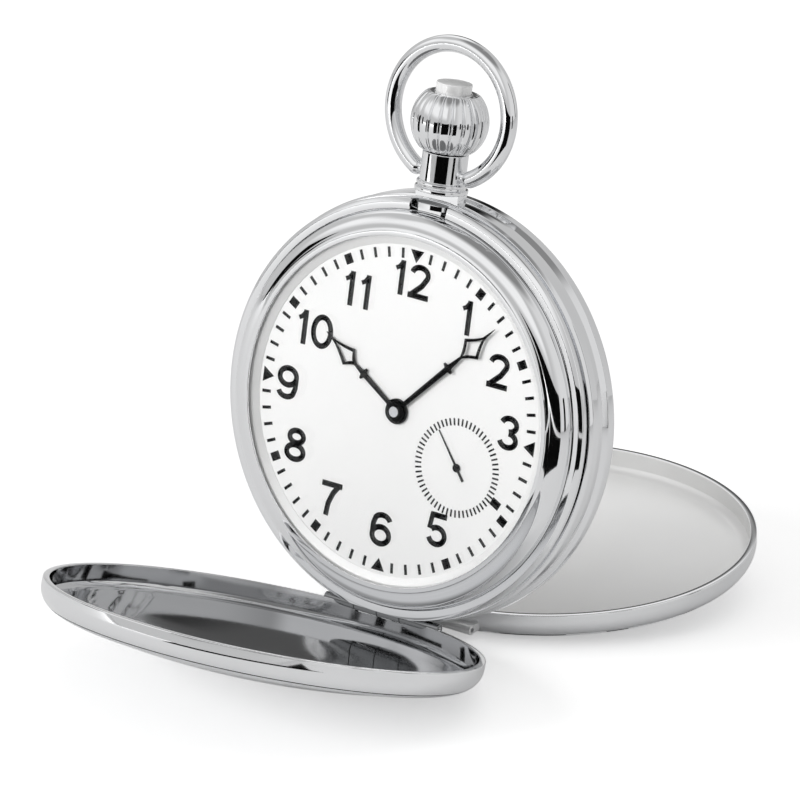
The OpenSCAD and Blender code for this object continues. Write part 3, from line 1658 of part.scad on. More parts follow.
case_band();
front_bezel();
crystal();
rehaut_ring();
front_cover();
rear_cover();
front_hinge_pin();
rear_hinge_pin();
back_bezel();
back_crystal();
pendant();
bow();
crown();
winding_stem();
push_button();
button_rod();
cover_catch();
lift_spring();
movement_ring();
case_screws();
dial();
dial_numerals();
dial_marks();
hour_hand();
minute_hand();
seconds_hand();
cannon_pinion();
hour_wheel();
minute_wheel();
main_plate();
barrel_bridge();
train_bridge();
pallet_bridge();
balance_cock();
mainspring_barrel();
barrel_arbor();
mainspring();
ratchet_wheel();
ratchet_screw();
crown_wheel();
click();
click_spring();
winding_pinion();
centre_wheel();
third_wheel();
fourth_wheel();
escape_wheel();
pallet_fork();
balance_wheel();
hairspring();
regulator();
plate_jewels();
bridge_jewels();
bridge_screws();
dial_screws();
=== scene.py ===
"""Looks of a double-hunter pocket watch that stands on its two open covers.

The frame holds the solids. This scene lays finely turned and filleted meshes over the case, gives
every piece its finish, and sets the watch in a white studio. Meshes are drawn in the dial frame, in
millimetres: X to 3 o'clock, Y to 12 o'clock, Z out of the dial, whose face is at Z = 0.
"""

import json
import logging
import math
from dataclasses import dataclass, field
from enum import Enum
from typing import Any, Callable, Sequence

import bmesh
import bpy
from mathutils import Matrix, Vector


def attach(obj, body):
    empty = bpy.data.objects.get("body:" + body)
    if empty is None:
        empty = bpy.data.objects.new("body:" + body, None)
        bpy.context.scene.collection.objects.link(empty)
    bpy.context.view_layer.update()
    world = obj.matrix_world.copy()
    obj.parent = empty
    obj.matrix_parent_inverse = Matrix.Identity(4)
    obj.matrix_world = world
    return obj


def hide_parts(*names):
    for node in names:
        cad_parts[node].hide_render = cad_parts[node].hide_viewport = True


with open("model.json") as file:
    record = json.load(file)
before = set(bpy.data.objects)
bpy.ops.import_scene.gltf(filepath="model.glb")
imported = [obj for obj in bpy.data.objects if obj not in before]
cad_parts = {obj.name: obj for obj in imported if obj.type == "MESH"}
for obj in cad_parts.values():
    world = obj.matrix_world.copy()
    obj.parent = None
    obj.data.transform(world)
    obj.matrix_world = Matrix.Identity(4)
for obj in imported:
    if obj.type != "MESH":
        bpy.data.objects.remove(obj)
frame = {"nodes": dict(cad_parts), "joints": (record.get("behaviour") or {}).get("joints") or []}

Point = tuple[float, float]
Corner = tuple[float, float, float]
Colour = tuple[float, float, float]

LOG = logging.getLogger("watch")
MM = 0.001
EVEN = (1, 1, 1)

# Sizes that several pieces share, in dial-frame millimetres. A hinge line is given by its Y and Z.
AROUND = 288
STEM_Z = -3.3
HINGE_FRONT = (-24.7, -2.3)
HINGE_REAR = (-25.9, -9.4)
CRYSTAL = 20.6
SPIGOT, SPIGOT_BORE = 21.37, 20.95
TINY = 1e-6

# Lays an outline that is drawn in X and Y down into X and Z.
LYING = Matrix.Rotation(math.radians(90), 4, "X")


class Body(Enum):
    """The moving bodies that the scene's own pieces ride on."""

    CASE = "case"
    FRONT_COVER = "front_cover"
    REAR_COVER = "rear_cover"
    BOW = "bow"
    STEM = "stem"
    BUTTON = "button"


class Slot(Enum):
    """The record's material slots."""

    POLISHED = "polished_case"
    SATIN = "satin_case"
    STEEL = "steel"
    BRIDGE = "bridge_metal"
    GILT = "gilt"
    BLUED = "blued"
    RUBY = "ruby"
    DIAL = "dial_white"
    PRINT = "print_black"
    HAND = "hand_black"
    CRYSTAL = "crystal"


class Grain(Enum):
    """How a metal surface is worked."""

    MIRROR = "mirror"
    SATIN = "satin"
    STRIPED = "striped"
    SPOTTED = "spotted"
    SUNRAY = "sunray"


class Graph:
    """A material's node tree, with short calls for the nodes that the finishes share."""

    def __init__(self, name: str) -> None:
        """Start a named material that holds one Principled shader."""
        self.material = bpy.data.materials.new(name)
        self.material.use_nodes = True
        self.nodes = self.material.node_tree.nodes
        self.links = self.material.node_tree.links
        self.shader = next(n for n in self.nodes if n.type == "BSDF_PRINCIPLED")

    def set(self, **values: Any) -> None:
        """Set constant values on the shader's own sockets, with underscores for spaces."""
        for key, value in values.items():
            self.shader.inputs[key.replace("_", " ")].default_value = value

    def link(self, output: Any, socket: str) -> None:
        """Join an output to a socket of the shader."""
        self.links.new(output, self.shader.inputs[socket])

    def texture(self, kind: str, output: str, stretch: Sequence[float], **values: float) -> Any:
        """A procedural texture over the piece's coordinates in metres, stretched along the axes."""
        coords = self.nodes.new("ShaderNodeTexCoord")
        mapping = self.nodes.new("ShaderNodeMapping")
        mapping.inputs["Scale"].default_value = stretch
        self.links.new(coords.outputs["Object"], mapping.inputs["Vector"])
        node = self.nodes.new(kind)
        for key, value in values.items():
            node.inputs[key].default_value = value
        self.links.new(mapping.outputs["Vector"], node.inputs["Vector"])
        return node.outputs[output]

    def noise(self, waves: float, layers: float = 3.0, stretch: Sequence[float] = EVEN) -> Any:
        """Smooth noise, with this many waves a metre and finer layers."""
        return self.texture("ShaderNodeTexNoise", "Fac", stretch, Scale=waves, Detail=layers)

    def spots(self, waves: float) -> Any:
        """Distance to scattered points, for a spotted surface."""
        return self.texture("ShaderNodeTexVoronoi", "Distance", EVEN, Scale=waves)

    def bands(self, waves: float, distortion: float, stretch: Sequence[float]) -> Any:
        """Parallel bands across the X axis, as a sawtooth."""
        bands = self.texture("ShaderNodeTexWave", "Fac", stretch, Scale=waves, Distortion=distortion)
        bands.node.wave_profile = "SAW"
        return bands

    def spread(self, value: Any, low: float, high: float) -> Any:
        """Map a value from 0..1 to low..high."""
        node = self.nodes.new("ShaderNodeMapRange")
        node.inputs["To Min"].default_value = low
        node.inputs["To Max"].default_value = high
        self.links.new(value, node.inputs["Value"])
        return node.outputs["Result"]

    def tint(self, value: Any, low: Colour, high: Colour) -> Any:
        """Blend from the low to the high colour by a value from 0 to 1."""
        node = self.nodes.new("ShaderNodeValToRGB")
        node.color_ramp.elements[0].color = (*low, 1)
        node.color_ramp.elements[1].color = (*high, 1)
        node.color_ramp.elements[0].position = 0.3
        node.color_ramp.elements[1].position = 0.7
        self.links.new(value, node.inputs["Fac"])
        return node.outputs["Color"]

    def bump(self, height: Any, depth_mm: float, strength: float) -> None:
        """Raise the surface by a height from 0 to 1, which stands for this many millimetres."""
        node = self.nodes.new("ShaderNodeBump")
        node.inputs["Strength"].default_value = strength
        node.inputs["Distance"].default_value = depth_mm * MM
        self.links.new(height, node.inputs["Height"])
        self.link(node.outputs["Normal"], "Normal")

    def tone(self, colour: Colour, vary: float, waves: float) -> None:
        """Let the base colour drift between a darker shade and itself, in broad waves."""
        darker = tuple(min(1.0, c * vary) for c in colour)
        self.link(self.tint(self.noise(waves), darker, colour), "Base Color")

    def gloss(self, value: Any, rough: Point) -> None:
        """Let the roughness follow a value, from the low to the high end."""
        self.link(self.spread(value, *rough), "Roughness")


@dataclass(frozen=True)
class Metal:
    """A metal finish: its colour, gloss and the marks of the tool that made it."""

    name: str
    slot: Slot
    colour: Colour
    rough: Point
    grain: Grain = Grain.MIRROR
    vary: float = 0.97
    depth_mm: float = 0.004
    metallic: float = 1.0

    def build(self) -> bpy.types.Material:
        """Make the material, with tool marks and a slight change of tone."""
        graph = Graph(self.name)
        graph.set(Metallic=self.metallic)
        graph.tone(self.colour, self.vary, waves=90)
        marks = self.marks(graph)
        graph.gloss(marks, self.rough)
        if self.grain is not Grain.MIRROR:
            graph.bump(marks, self.depth_mm, strength=0.35)
        return graph.material

    def marks(self, graph: Graph) -> Any:
        """The pattern of tool marks for this grain."""
        if self.grain is Grain.STRIPED:
            return graph.bands(waves=160, distortion=0.2, stretch=(1, 0.2, 1))
        if self.grain is Grain.SPOTTED:
            return graph.spots(waves=1300)
        if self.grain is Grain.SATIN:
            return graph.noise(waves=9000, layers=2)
        if self.grain is Grain.SUNRAY:
            return graph.noise(waves=4000, layers=2, stretch=(1, 1, 0.15))
        return graph.noise(waves=260, layers=5)


@dataclass(frozen=True)
class Paint:
    """A lacquer, ink or enamel."""

    name: str
    slot: Slot
    colour: Colour
    rough: Point
    coat: float = 0.0
    shine: float = 0.4
    vary: float = 0.985
    peel_waves: float = 2500.0

    def build(self) -> bpy.types.Material:
        """Make the material, with a fine orange-peel surface and a slight change of tone."""
        graph = Graph(self.name)
        graph.set(Coat_Weight=self.coat, Coat_Roughness=0.04, Specular_IOR_Level=self.shine)
        graph.tone(self.colour, self.vary, waves=120)
        peel = graph.noise(self.peel_waves, layers=4)
        graph.gloss(peel, self.rough)
        graph.bump(peel, depth_mm=0.003, strength=0.2)
        return graph.material


@dataclass(frozen=True)
class Clear:
    """A clear or coloured stone or glass."""

    name: str
    slot: Slot
    colour: Colour
    alpha: float
    ior: float

    def build(self) -> bpy.types.Material:
        """Make the material, polished, with faint wiping marks."""
        graph = Graph(self.name)
        graph.set(Transmission_Weight=1.0, IOR=self.ior, Alpha=self.alpha)
        graph.tone(self.colour, vary=0.98, waves=150)
        graph.gloss(graph.noise(waves=400, layers=4), rough=(0.0, 0.02))
        return graph.material


class Finishes:
    """Every finish of the watch, made once and handed out by name."""

    chrome = Metal("mirror_chrome", Slot.POLISHED, (0.86, 0.865, 0.875), (0.025, 0.06))
    satin = Metal("satin_chrome", Slot.SATIN, (0.97, 0.97, 0.965), (0.3, 0.4), Grain.SATIN, metallic=0.42)
    # Painted darker reflection: chrome darkened to 0.6 for the front cover's inside, in place of the dark
    # room that it would mirror.
    inner = Metal("painted_dark_reflection_chrome", Slot.POLISHED, (0.6, 0.605, 0.615), (0.035, 0.08))
    # Painted shade: chrome darkened to about a quarter, for the front hinge's knuckles, the inside of the
    # catch's slot and the fine line round the front cover.
    painted_shade = Metal("painted_shade_chrome", Slot.POLISHED, (0.24, 0.245, 0.25), (0.06, 0.12))
    steel = Metal("polished_steel", Slot.STEEL, (0.74, 0.75, 0.78), (0.1, 0.2))
    snailed = Metal("snailed_steel", Slot.STEEL, (0.74, 0.75, 0.78), (0.15, 0.35), Grain.SUNRAY)
    nickel = Metal("striped_nickel", Slot.BRIDGE, (0.76, 0.755, 0.73), (0.2, 0.36), Grain.STRIPED,
                   depth_mm=0.01)
    spotted = Metal("spotted_nickel", Slot.BRIDGE, (0.74, 0.735, 0.71), (0.24, 0.42), Grain.SPOTTED,
                    depth_mm=0.008)
    gilt = Metal("gilt_brass", Slot.GILT, (0.86, 0.68, 0.37), (0.18, 0.32), Grain.SATIN)
    blued = Metal("blued_steel", Slot.BLUED, (0.05, 0.09, 0.3), (0.14, 0.26), vary=0.8)
    ruby = Clear("ruby", Slot.RUBY, (0.75, 0.03, 0.2), 1.0, 1.76)
    crystal = Clear("crystal_glass", Slot.CRYSTAL, (0.97, 0.985, 0.99), 0.035, 1.5)
    lacquer = Paint("white_lacquer", Slot.DIAL, (0.93, 0.93, 0.925), (0.35, 0.5), 0.1)
    ink = Paint("black_ink", Slot.PRINT, (0.004, 0.004, 0.0045), (0.6, 0.75), 0.0, 0.0, 0.6)
    hand = Paint("black_gloss", Slot.HAND, (0.003, 0.003, 0.0035), (0.25, 0.35), 0.0, 0.06, 0.6)

    def __init__(self) -> None:
        """Start with no material made."""
        self.made: dict[str, bpy.types.Material] = {}

    def of(self, finish: Any) -> bpy.types.Material:
        """The finish's material, made at its first use."""
        if finish.name not in self.made:
            self.made[finish.name] = finish.build()
        return self.made[finish.name]


@dataclass(frozen=True)
class Stance:
    """Where the case stands, read from the frame's joints."""

    to_world: Matrix

    @classmethod
    def from_joints(cls, joints: dict[str, dict[str, Any]]) -> "Stance":
        """Read the dial's normal and the winding stem's line.

        Args:
            joints: the frame's joints by name.

        Returns:
            The stance that turns dial-frame millimetres into the row's metres.
        """
        dial = joints["hour_spin"]
        out = Vector(dial["axis"]).normalized()
        up = Vector(joints["crown_spin"]["axis"]).normalized()
        matrix = Matrix((up.cross(out), up, out)).transposed().to_4x4()
        matrix.translation = Vector(dial["pos_m"]) + 4 * MM * out
        return cls(matrix @ Matrix.Scale(MM, 4))


def turn_about(axis: Vector, degrees: float) -> Matrix:
    """A turn by degrees about the line along X through a point."""
    spin = Matrix.Rotation(math.radians(degrees), 4, "X")
    return Matrix.Translation(axis) @ spin @ Matrix.Translation(-axis)


def placed(name: str, data: Any) -> bpy.types.Object:
    """A new object of the scene that holds the data."""
    thing = bpy.data.objects.new(name, data)
    bpy.context.scene.collection.objects.link(thing)
    return thing


def arc(centre: Point, radius: float, start: float, end: float, steps: int,
        rise: float | None = None) -> list[Corner]:
    """Points between two angles in degrees, on a circle or, with a rise, on an ellipse, unfilleted."""
    up = radius if rise is None else rise
    angles = (math.radians(start + (end - start) * i / steps) for i in range(steps + 1))
    return [(centre[0] + radius * math.cos(a), centre[1] + up * math.sin(a), 0.0) for a in angles]


def filleted(corners: Sequence[Corner], steps: int = 5) -> list[Point]:
    """Round the corners of a closed outline.

    Args:
        corners: each corner's place and the radius of its fillet.
        steps: pieces of each fillet.

    Returns:
        The rounded outline.
    """
    outline: list[Point] = []
    count = len(corners)
    for i, (x, y, radius) in enumerate(corners):
        here = Vector((x, y))
        before = Vector(corners[i - 1][:2]) - here
        after = Vector(corners[(i + 1) % count][:2]) - here
        half = before.angle(after, 0.0) / 2
        short = min(before.length, after.length) < TINY
        if radius <= 0 or short or abs(half - math.pi / 2) < 0.02:
            outline.append((x, y))
            continue
        reach = min(radius / math.tan(half), *(side.length * 0.45 for side in (before, after)))
        start = here + before.normalized() * reach
        end = here + after.normalized() * reach
        for k in range(steps + 1):
            t = k / steps
            point = start * (1 - t) ** 2 + here * (2 * t * (1 - t)) + end * t ** 2
            outline.append((point.x, point.y))
    return outline


class Mould:
    """Gathers the faces of one piece in dial-frame millimetres."""

    def __init__(self) -> None:
        """Start empty."""
        self.mesh = bmesh.new()

    def grid(self, rows: Sequence[Sequence[Vector]], wrap_rows: bool, wrap_cols: bool) -> None:
        """Skin a grid of points.

        Args:
            rows: rows of equal length.
            wrap_rows: join the last row to the first.
            wrap_cols: join the last column to the first.
        """
        verts = [[self.mesh.verts.new(p) for p in row] for row in rows]
        last_row = len(rows) if wrap_rows else len(rows) - 1
        width = len(rows[0])
        last_col = width if wrap_cols else width - 1
        for i in range(last_row):
            a, b = verts[i], verts[(i + 1) % len(rows)]
            for j in range(last_col):
                k = (j + 1) % width
                self.mesh.faces.new((a[j], a[k], b[k], b[j]))

    def turned(self, outline: Sequence[Point], matrix: Matrix = Matrix.Identity(4), around: int = AROUND,
               radius: Callable[[float, float], float] | None = None) -> None:
        """Turn a closed outline about Z.

        Args:
            outline: points of radius and height.
            matrix: place of the shape.
            around: number of steps round the axis.
            radius: gives the radius from the outline's radius and the angle, where it changes.
        """
        rows = []
        for j in range(around):
            angle = 2 * math.pi * j / around
            c, s = math.cos(angle), math.sin(angle)
            reach = [(radius(r, angle) if radius else r, z) for r, z in outline]
            rows.append([matrix @ Vector((r * c, r * s, z)) for r, z in reach])
        self.grid(rows, True, True)

    def swept(self, path: Sequence[Vector], radii: Sequence[float], side: Vector, sides: int) -> None:
        """Sweep a round section along a plane path.

        Args:
            path: points of the middle line.
            radii: radius of the section at each point.
            side: normal of the path's plane.
            sides: number of steps round the section.
        """
        rows = []
        for i, point in enumerate(path):
            ahead = path[min(i + 1, len(path) - 1)] - path[max(i - 1, 0)]
            across = ahead.cross(side).normalized()
            turns = [2 * math.pi * k / sides for k in range(sides)]
            rows.append([point + radii[i] * (math.cos(a) * across + math.sin(a) * side) for a in turns])
        self.grid(rows, False, True)

    def prism(self, outline: Sequence[Point], low: float, high: float,
              matrix: Matrix = Matrix.Identity(4)) -> None:
        """Extrude a closed outline along Z between two heights."""
        bottom = [self.mesh.verts.new(matrix @ Vector((x, y, low))) for x, y in outline]
        top = [self.mesh.verts.new(matrix @ Vector((x, y, high))) for x, y in outline]
        count = len(outline)
        self.mesh.faces.new(list(reversed(bottom)))
        self.mesh.faces.new(top)
        for i in range(count):
            k = (i + 1) % count
            self.mesh.faces.new((bottom[i], bottom[k], top[k], top[i]))

    def box(self, low: Sequence[float], high: Sequence[float]) -> None:
        """A plain block between two corners, for cutters and hidden webs."""
        outline = [(low[0], low[1]), (high[0], low[1]), (high[0], high[1]), (low[0], high[1])]
        self.prism(outline, low[2], high[2])

    def rod(self, radius: float, start: Vector, end: Vector, bevel: float = 0.05,
            around: int = 64) -> None:
        """A round rod between the middles of its two ends, which are bevelled."""
        along = end - start
        turn = along.to_track_quat("Z", "Y").to_matrix().to_4x4()
        length = along.length
        outline = filleted([(0.0, 0.0, 0), (radius, 0.0, bevel), (radius, length, bevel), (0.0, length, 0)])
        self.turned(outline, Matrix.Translation(start) @ turn, around)

    def finish(self, name: str) -> bpy.types.Mesh:
        """Close the piece into a mesh in millimetres, with its faces turned outward."""
        bmesh.ops.remove_doubles(self.mesh, verts=self.mesh.verts, dist=1e-5)
        bmesh.ops.dissolve_degenerate(self.mesh, edges=self.mesh.edges, dist=TINY)
        bmesh.ops.recalc_face_normals(self.mesh, faces=self.mesh.faces)
        mesh = bpy.data.meshes.new(name)
        self.mesh.to_mesh(mesh)
        self.mesh.free()
        return mesh


def carved(mesh: bpy.types.Mesh, cutters: Sequence[bpy.types.Mesh]) -> bpy.types.Mesh:
    """Cut meshes out of a mesh.

    Args:
        mesh: the piece, in millimetres.
        cutters: meshes to take out of it.

    Returns:
        The cut mesh.
    """
    host = placed("host", mesh)
    helpers = [placed("cutter", cutter) for cutter in cutters]
    for helper in helpers:
        cut = host.modifiers.new("cut", "BOOLEAN")
        cut.operation = "DIFFERENCE"
        cut.solver = "EXACT"
        cut.object = helper
    bpy.context.view_layer.update()
    graph = bpy.context.evaluated_depsgraph_get()
    result = bpy.data.meshes.new_from_object(host.evaluated_get(graph))
    for helper in [host, *helpers]:
        bpy.data.objects.remove(helper)
    return result


def joined(meshes: Sequence[bpy.types.Mesh], name: str) -> bpy.types.Mesh:
    """Put several meshes together as one."""
    whole = bmesh.new()
    for mesh in meshes:
        whole.from_mesh(mesh)
    result = bpy.data.meshes.new(name)
    whole.to_mesh(result)
    whole.free()
    return result


@dataclass
class Workshop:
    """Places meshes in the frame, dresses them and keeps the count."""

    stance: Stance
    finishes: Finishes = field(default_factory=Finishes)
    crease: float = 32.0

    def fit(self, mesh: bpy.types.Mesh, name: str, finish: Any, body: Body,
            nodes: Sequence[str] = (), matrix: Matrix = Matrix.Identity(4)) -> bpy.types.Object:
        """Make a piece from a mesh and let it ride on its body.

        Args:
            mesh: the mesh in dial-frame millimetres.
            name: name of the piece.
            finish: its finish.
            body: the body that it rides on.
            nodes: the frame's nodes that it stands for.
            matrix: a turn in the dial frame, as for an open cover.

        Returns:
            The piece.
        """
        mesh.transform(self.stance.to_world @ matrix)
        mesh.shade_smooth()
        mesh.set_sharp_from_angle(angle=math.radians(self.crease))
        piece = placed(name, mesh)
        normals = piece.modifiers.new("normals", "WEIGHTED_NORMAL")
        normals.keep_sharp = True
        normals.weight = 60
        mesh.materials.clear()
        mesh.materials.append(self.finishes.of(finish))
        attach(piece, body.value)
        if nodes:
            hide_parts(*nodes)
        LOG.info("%s: %d faces, rides on %s", name, len(mesh.polygons), body.value)
        return piece

    def turn(self, corners: Sequence[Corner], name: str, finish: Any, nodes: Sequence[str],
             around: int = AROUND) -> None:
        """Turn a filleted outline about the dial's axis and fit it to the case."""
        mould = Mould()
        mould.turned(filleted(corners), around=around)
        self.fit(mould.finish(name), name, finish, Body.CASE, nodes)

    def line(self, piece: bpy.types.Object, finish: Any, faces: Sequence[int]) -> None:
        """Give some of a piece's faces, by number, another finish."""
        piece.data.materials.append(self.finishes.of(finish))
        for number in faces:
            piece.data.polygons[number].material_index = len(piece.data.materials) - 1

    def dress(self, node: str, finish: Any, bevel_mm: float = 0.0) -> bpy.types.Object:
        """Give one of the frame's nodes its finish.

        Args:
            node: the node's name.
            finish: its finish.
            bevel_mm: width of a bevel on its sharp edges, or 0 for none.

        Returns:
            The node's object.
        """
        piece = frame["nodes"][node]
        material = self.finishes.of(finish)
        if not piece.data.materials:
            piece.data.materials.append(material)
        for slot in piece.material_slots:
            slot.link = "OBJECT"
            slot.material = material
        if bevel_mm > 0:
            bevel = piece.modifiers.new("edges", "BEVEL")
            bevel.width = bevel_mm * MM
            bevel.segments = 2
            bevel.limit_method = "ANGLE"
            bevel.angle_limit = math.radians(40)
            bevel.harden_normals = True
        LOG.info("%s: dressed in %s", node, finish.name)
        return piece


@dataclass
class HingeSizes:
    """Sizes of a hinge: the body's knuckles stand between two splits, the cover's outside them."""

    radius: float = 0.6
    length: float = 16.2
    split_a: float = -3.84
    split_b: float = 2.754
    gap: float = 0.08
    notch_out: float = 2.2
    notch_in: float = 1.2

    def cover_spans(self) -> list[Point]:
        """Spans of the cover's knuckles along X."""
        return [(-self.length / 2, self.split_a), (self.split_b, self.length / 2)]

    def body_spans(self) -> list[Point]:
        """Spans of the case's knuckles along X."""
        middle = (self.split_a + self.split_b) / 2
        half_gap = self.gap / 2
        return [(self.split_a + self.gap, middle - half_gap), (middle + half_gap, self.split_b - self.gap)]

    def knuckles(self, spans: Sequence[Point], at: Point) -> bpy.types.Mesh:
        """Knuckles along X over the spans, on the hinge line's Y and Z."""
        mould = Mould()
        for start, end in spans:
            mould.rod(self.radius, Vector((start, *at)), Vector((end, *at)), 0.06)
        return mould.finish("knuckles")

    def clearance(self, at: Point, reach: Point) -> bpy.types.Mesh:
        """The cutter for the case's knuckles, reaching below and above the hinge line's Y and Z."""
        mould = Mould()
        low = (self.split_a, at[0] - self.notch_out, at[1] - reach[0])
        mould.box(low, (self.split_b, at[0] + self.notch_in, at[1] + reach[1]))
        return mould.finish("notch")


@dataclass
class Cover:
    """A domed hunting cover, drawn shut and then opened about its hinge."""

    node: str
    body: Body
    finish: Any
    outer: float
    depth: float
    seat: float
    facing: int
    hinge_at: Point
    open_deg: float
    rim: float = 0.8
    shell: float = 0.5
    wall: float = 1.0
    shoulder: float = 2.4
    groove_deg: float = 77.0
    line_deg: float = 50.0
    line_depth: float = 0.13
    line_foot: float = 1.5
    line_flank: float = 2.4
    groove: float = 0.25
    groove_depth: float = 0.12
    lip_deg: float = 10.0
    lip_steps: int = 12
    web_end: float = 0.935
    hinge: HingeSizes = field(default_factory=HingeSizes)

    def outline(self) -> list[Point]:
        """The section from the rim over the outside to the middle, and back along the inside.

        Returns:
            A closed outline of radius and height over the seat.
        """
        bend, lean = self.shoulder, math.radians(self.groove_deg)
        centre = (self.outer - bend, self.wall)
        edge, edge_h = centre[0] + bend * math.cos(lean), self.wall + bend * math.sin(lean)
        dome, rise = edge - self.groove, self.depth - edge_h
        ball = (dome ** 2 + rise ** 2) / (2 * rise)
        inner = self.outer - self.rim
        inner_ball, inner_bend = ball - self.shell, bend - self.shell
        start = math.degrees(math.acos((inner - self.outer + bend) / inner_bend))
        end = self.groove_deg - 4
        last = centre[0] + inner_bend * math.cos(math.radians(end))
        out_deg = math.degrees(math.asin(dome / ball))
        in_deg = math.degrees(math.asin((last - 0.5) / inner_ball))
        top = (0.0, self.depth - ball)
        corners: list[Corner] = [(inner, 0.0, 0.1), (self.outer, 0.0, 0.16)]
        line, foot, flank = self.line_deg, self.line_foot, self.line_flank
        corners += arc(centre, bend, 0, line - flank, 16)
        corners += arc(centre, bend - self.line_depth, line - foot, line + foot, 3)
        corners += arc(centre, bend, line + flank, self.groove_deg - 1.5, 10)
        low = edge_h - self.groove_depth
        corners += [(edge, edge_h, 0.06), (edge - 0.06, low, 0.04), (dome + 0.03, low, 0.04)]
        corners += [(dome, edge_h, 0.06)]
        corners += arc(top, ball, 90 - out_deg + 0.6, 90, 26)
        corners += arc(top, inner_ball, 90, 90 - in_deg, 26)
        corners += arc(centre, inner_bend, end, start, 14)
        return filleted(corners, 4)

    def make(self, shop: Workshop) -> None:
        """Turn, notch and hang the cover.

        Args:
            shop: the workshop that fits it.
        """
        front = self.facing > 0
        place = Matrix.Translation((0, 0, self.seat))
        if not front:
            place = place @ Matrix.Scale(-1, 4, (0, 0, 1))
        shell = Mould()
        shell.turned(self.outline(), place)
        # Only the case's knuckles need room in the shell.
        notch = self.hinge.clearance(self.hinge_at, (1.0, 0.72) if front else (0.72, 3.0))
        cut = carved(shell.finish(self.node), [notch])
        knuckles = self.hinge.knuckles(self.hinge.cover_spans(), self.hinge_at)
        inside, grooved = self.inside_faces(cut), self.groove_faces(cut)
        name = f"{self.node}_turned"
        turn = turn_about(Vector((0, *self.hinge_at)), self.open_deg)
        piece = shop.fit(joined([cut, self.trim()], name), name, self.finish, self.body, [self.node], turn)
        if front:
            # Painted darker reflection on the front cover's inside.
            shop.line(piece, Finishes.inner, inside)
            # Painted shade in the fine line round the shoulder.
            shop.line(piece, Finishes.painted_shade, grooved)
        else:
            shop.line(piece, Finishes.chrome, sorted(set(range(len(cut.polygons))) - set(inside)))
        # The front cover's knuckles get painted shade; the rear cover's keep its own finish.
        finish = Finishes.painted_shade if front else self.finish
        shop.fit(knuckles, f"{self.node}_knuckles", finish, self.body, [self.node], turn)

    def inside_faces(self, mesh: bpy.types.Mesh) -> list[int]:
        """Numbers of the faces that look into the shut cover."""
        heart = Vector((0, 0, self.seat))
        return [face.index for face in mesh.polygons
                if face.normal.dot((face.center - heart).normalized()) < -0.15]

    def groove_faces(self, mesh: bpy.types.Mesh) -> list[int]:
        """Numbers of the faces at the foot of the fine line round the shoulder, 0.11 mm deep."""
        found = []
        for face in mesh.polygons:
            out = math.hypot(face.center.x, face.center.y) - self.outer + self.shoulder
            up = (face.center.z - self.seat) * self.facing - self.wall
            sunk = self.shoulder - math.hypot(out, up)
            if abs(sunk - 0.11) < 0.05 and out > 0 and up > 0.5:
                found.append(face.index)
        return found

    def trim(self) -> bpy.types.Mesh:
        """The front cover's catch lip, or the webs that carry the rear cover's knuckles."""
        return self.catch_lip() if self.facing > 0 else self.webs()

    def catch_lip(self) -> bpy.types.Mesh:
        """The lip inside the rim that the catch holds."""
        mould = Mould()
        back, out = self.outer - self.rim - 0.3, self.outer - self.rim + 0.1
        low, high = self.seat + 0.42, self.seat + 0.73
        rows = []
        for i in range(self.lip_steps + 1):
            angle = math.radians(90 - self.lip_deg / 2 + self.lip_deg * i / self.lip_steps)
            c, s = math.cos(angle), math.sin(angle)
            section = [(back, low), (back, high), (out, high), (out, low)]
            rows.append([Vector((r * c, r * s, z)) for r, z in section])
        mould.grid(rows, False, True)
        return mould.finish("catch_lip")

    def webs(self) -> bpy.types.Mesh:
        """The blocks between the knuckles and the rim."""
        mould = Mould()
        y, z = self.hinge_at
        half = self.hinge.radius * 0.8
        for start, end in self.hinge.cover_spans():
            mould.box((start + 0.05, y, z - half), (end - 0.05, -self.outer * self.web_end, z + half))
        return mould.finish("webs")


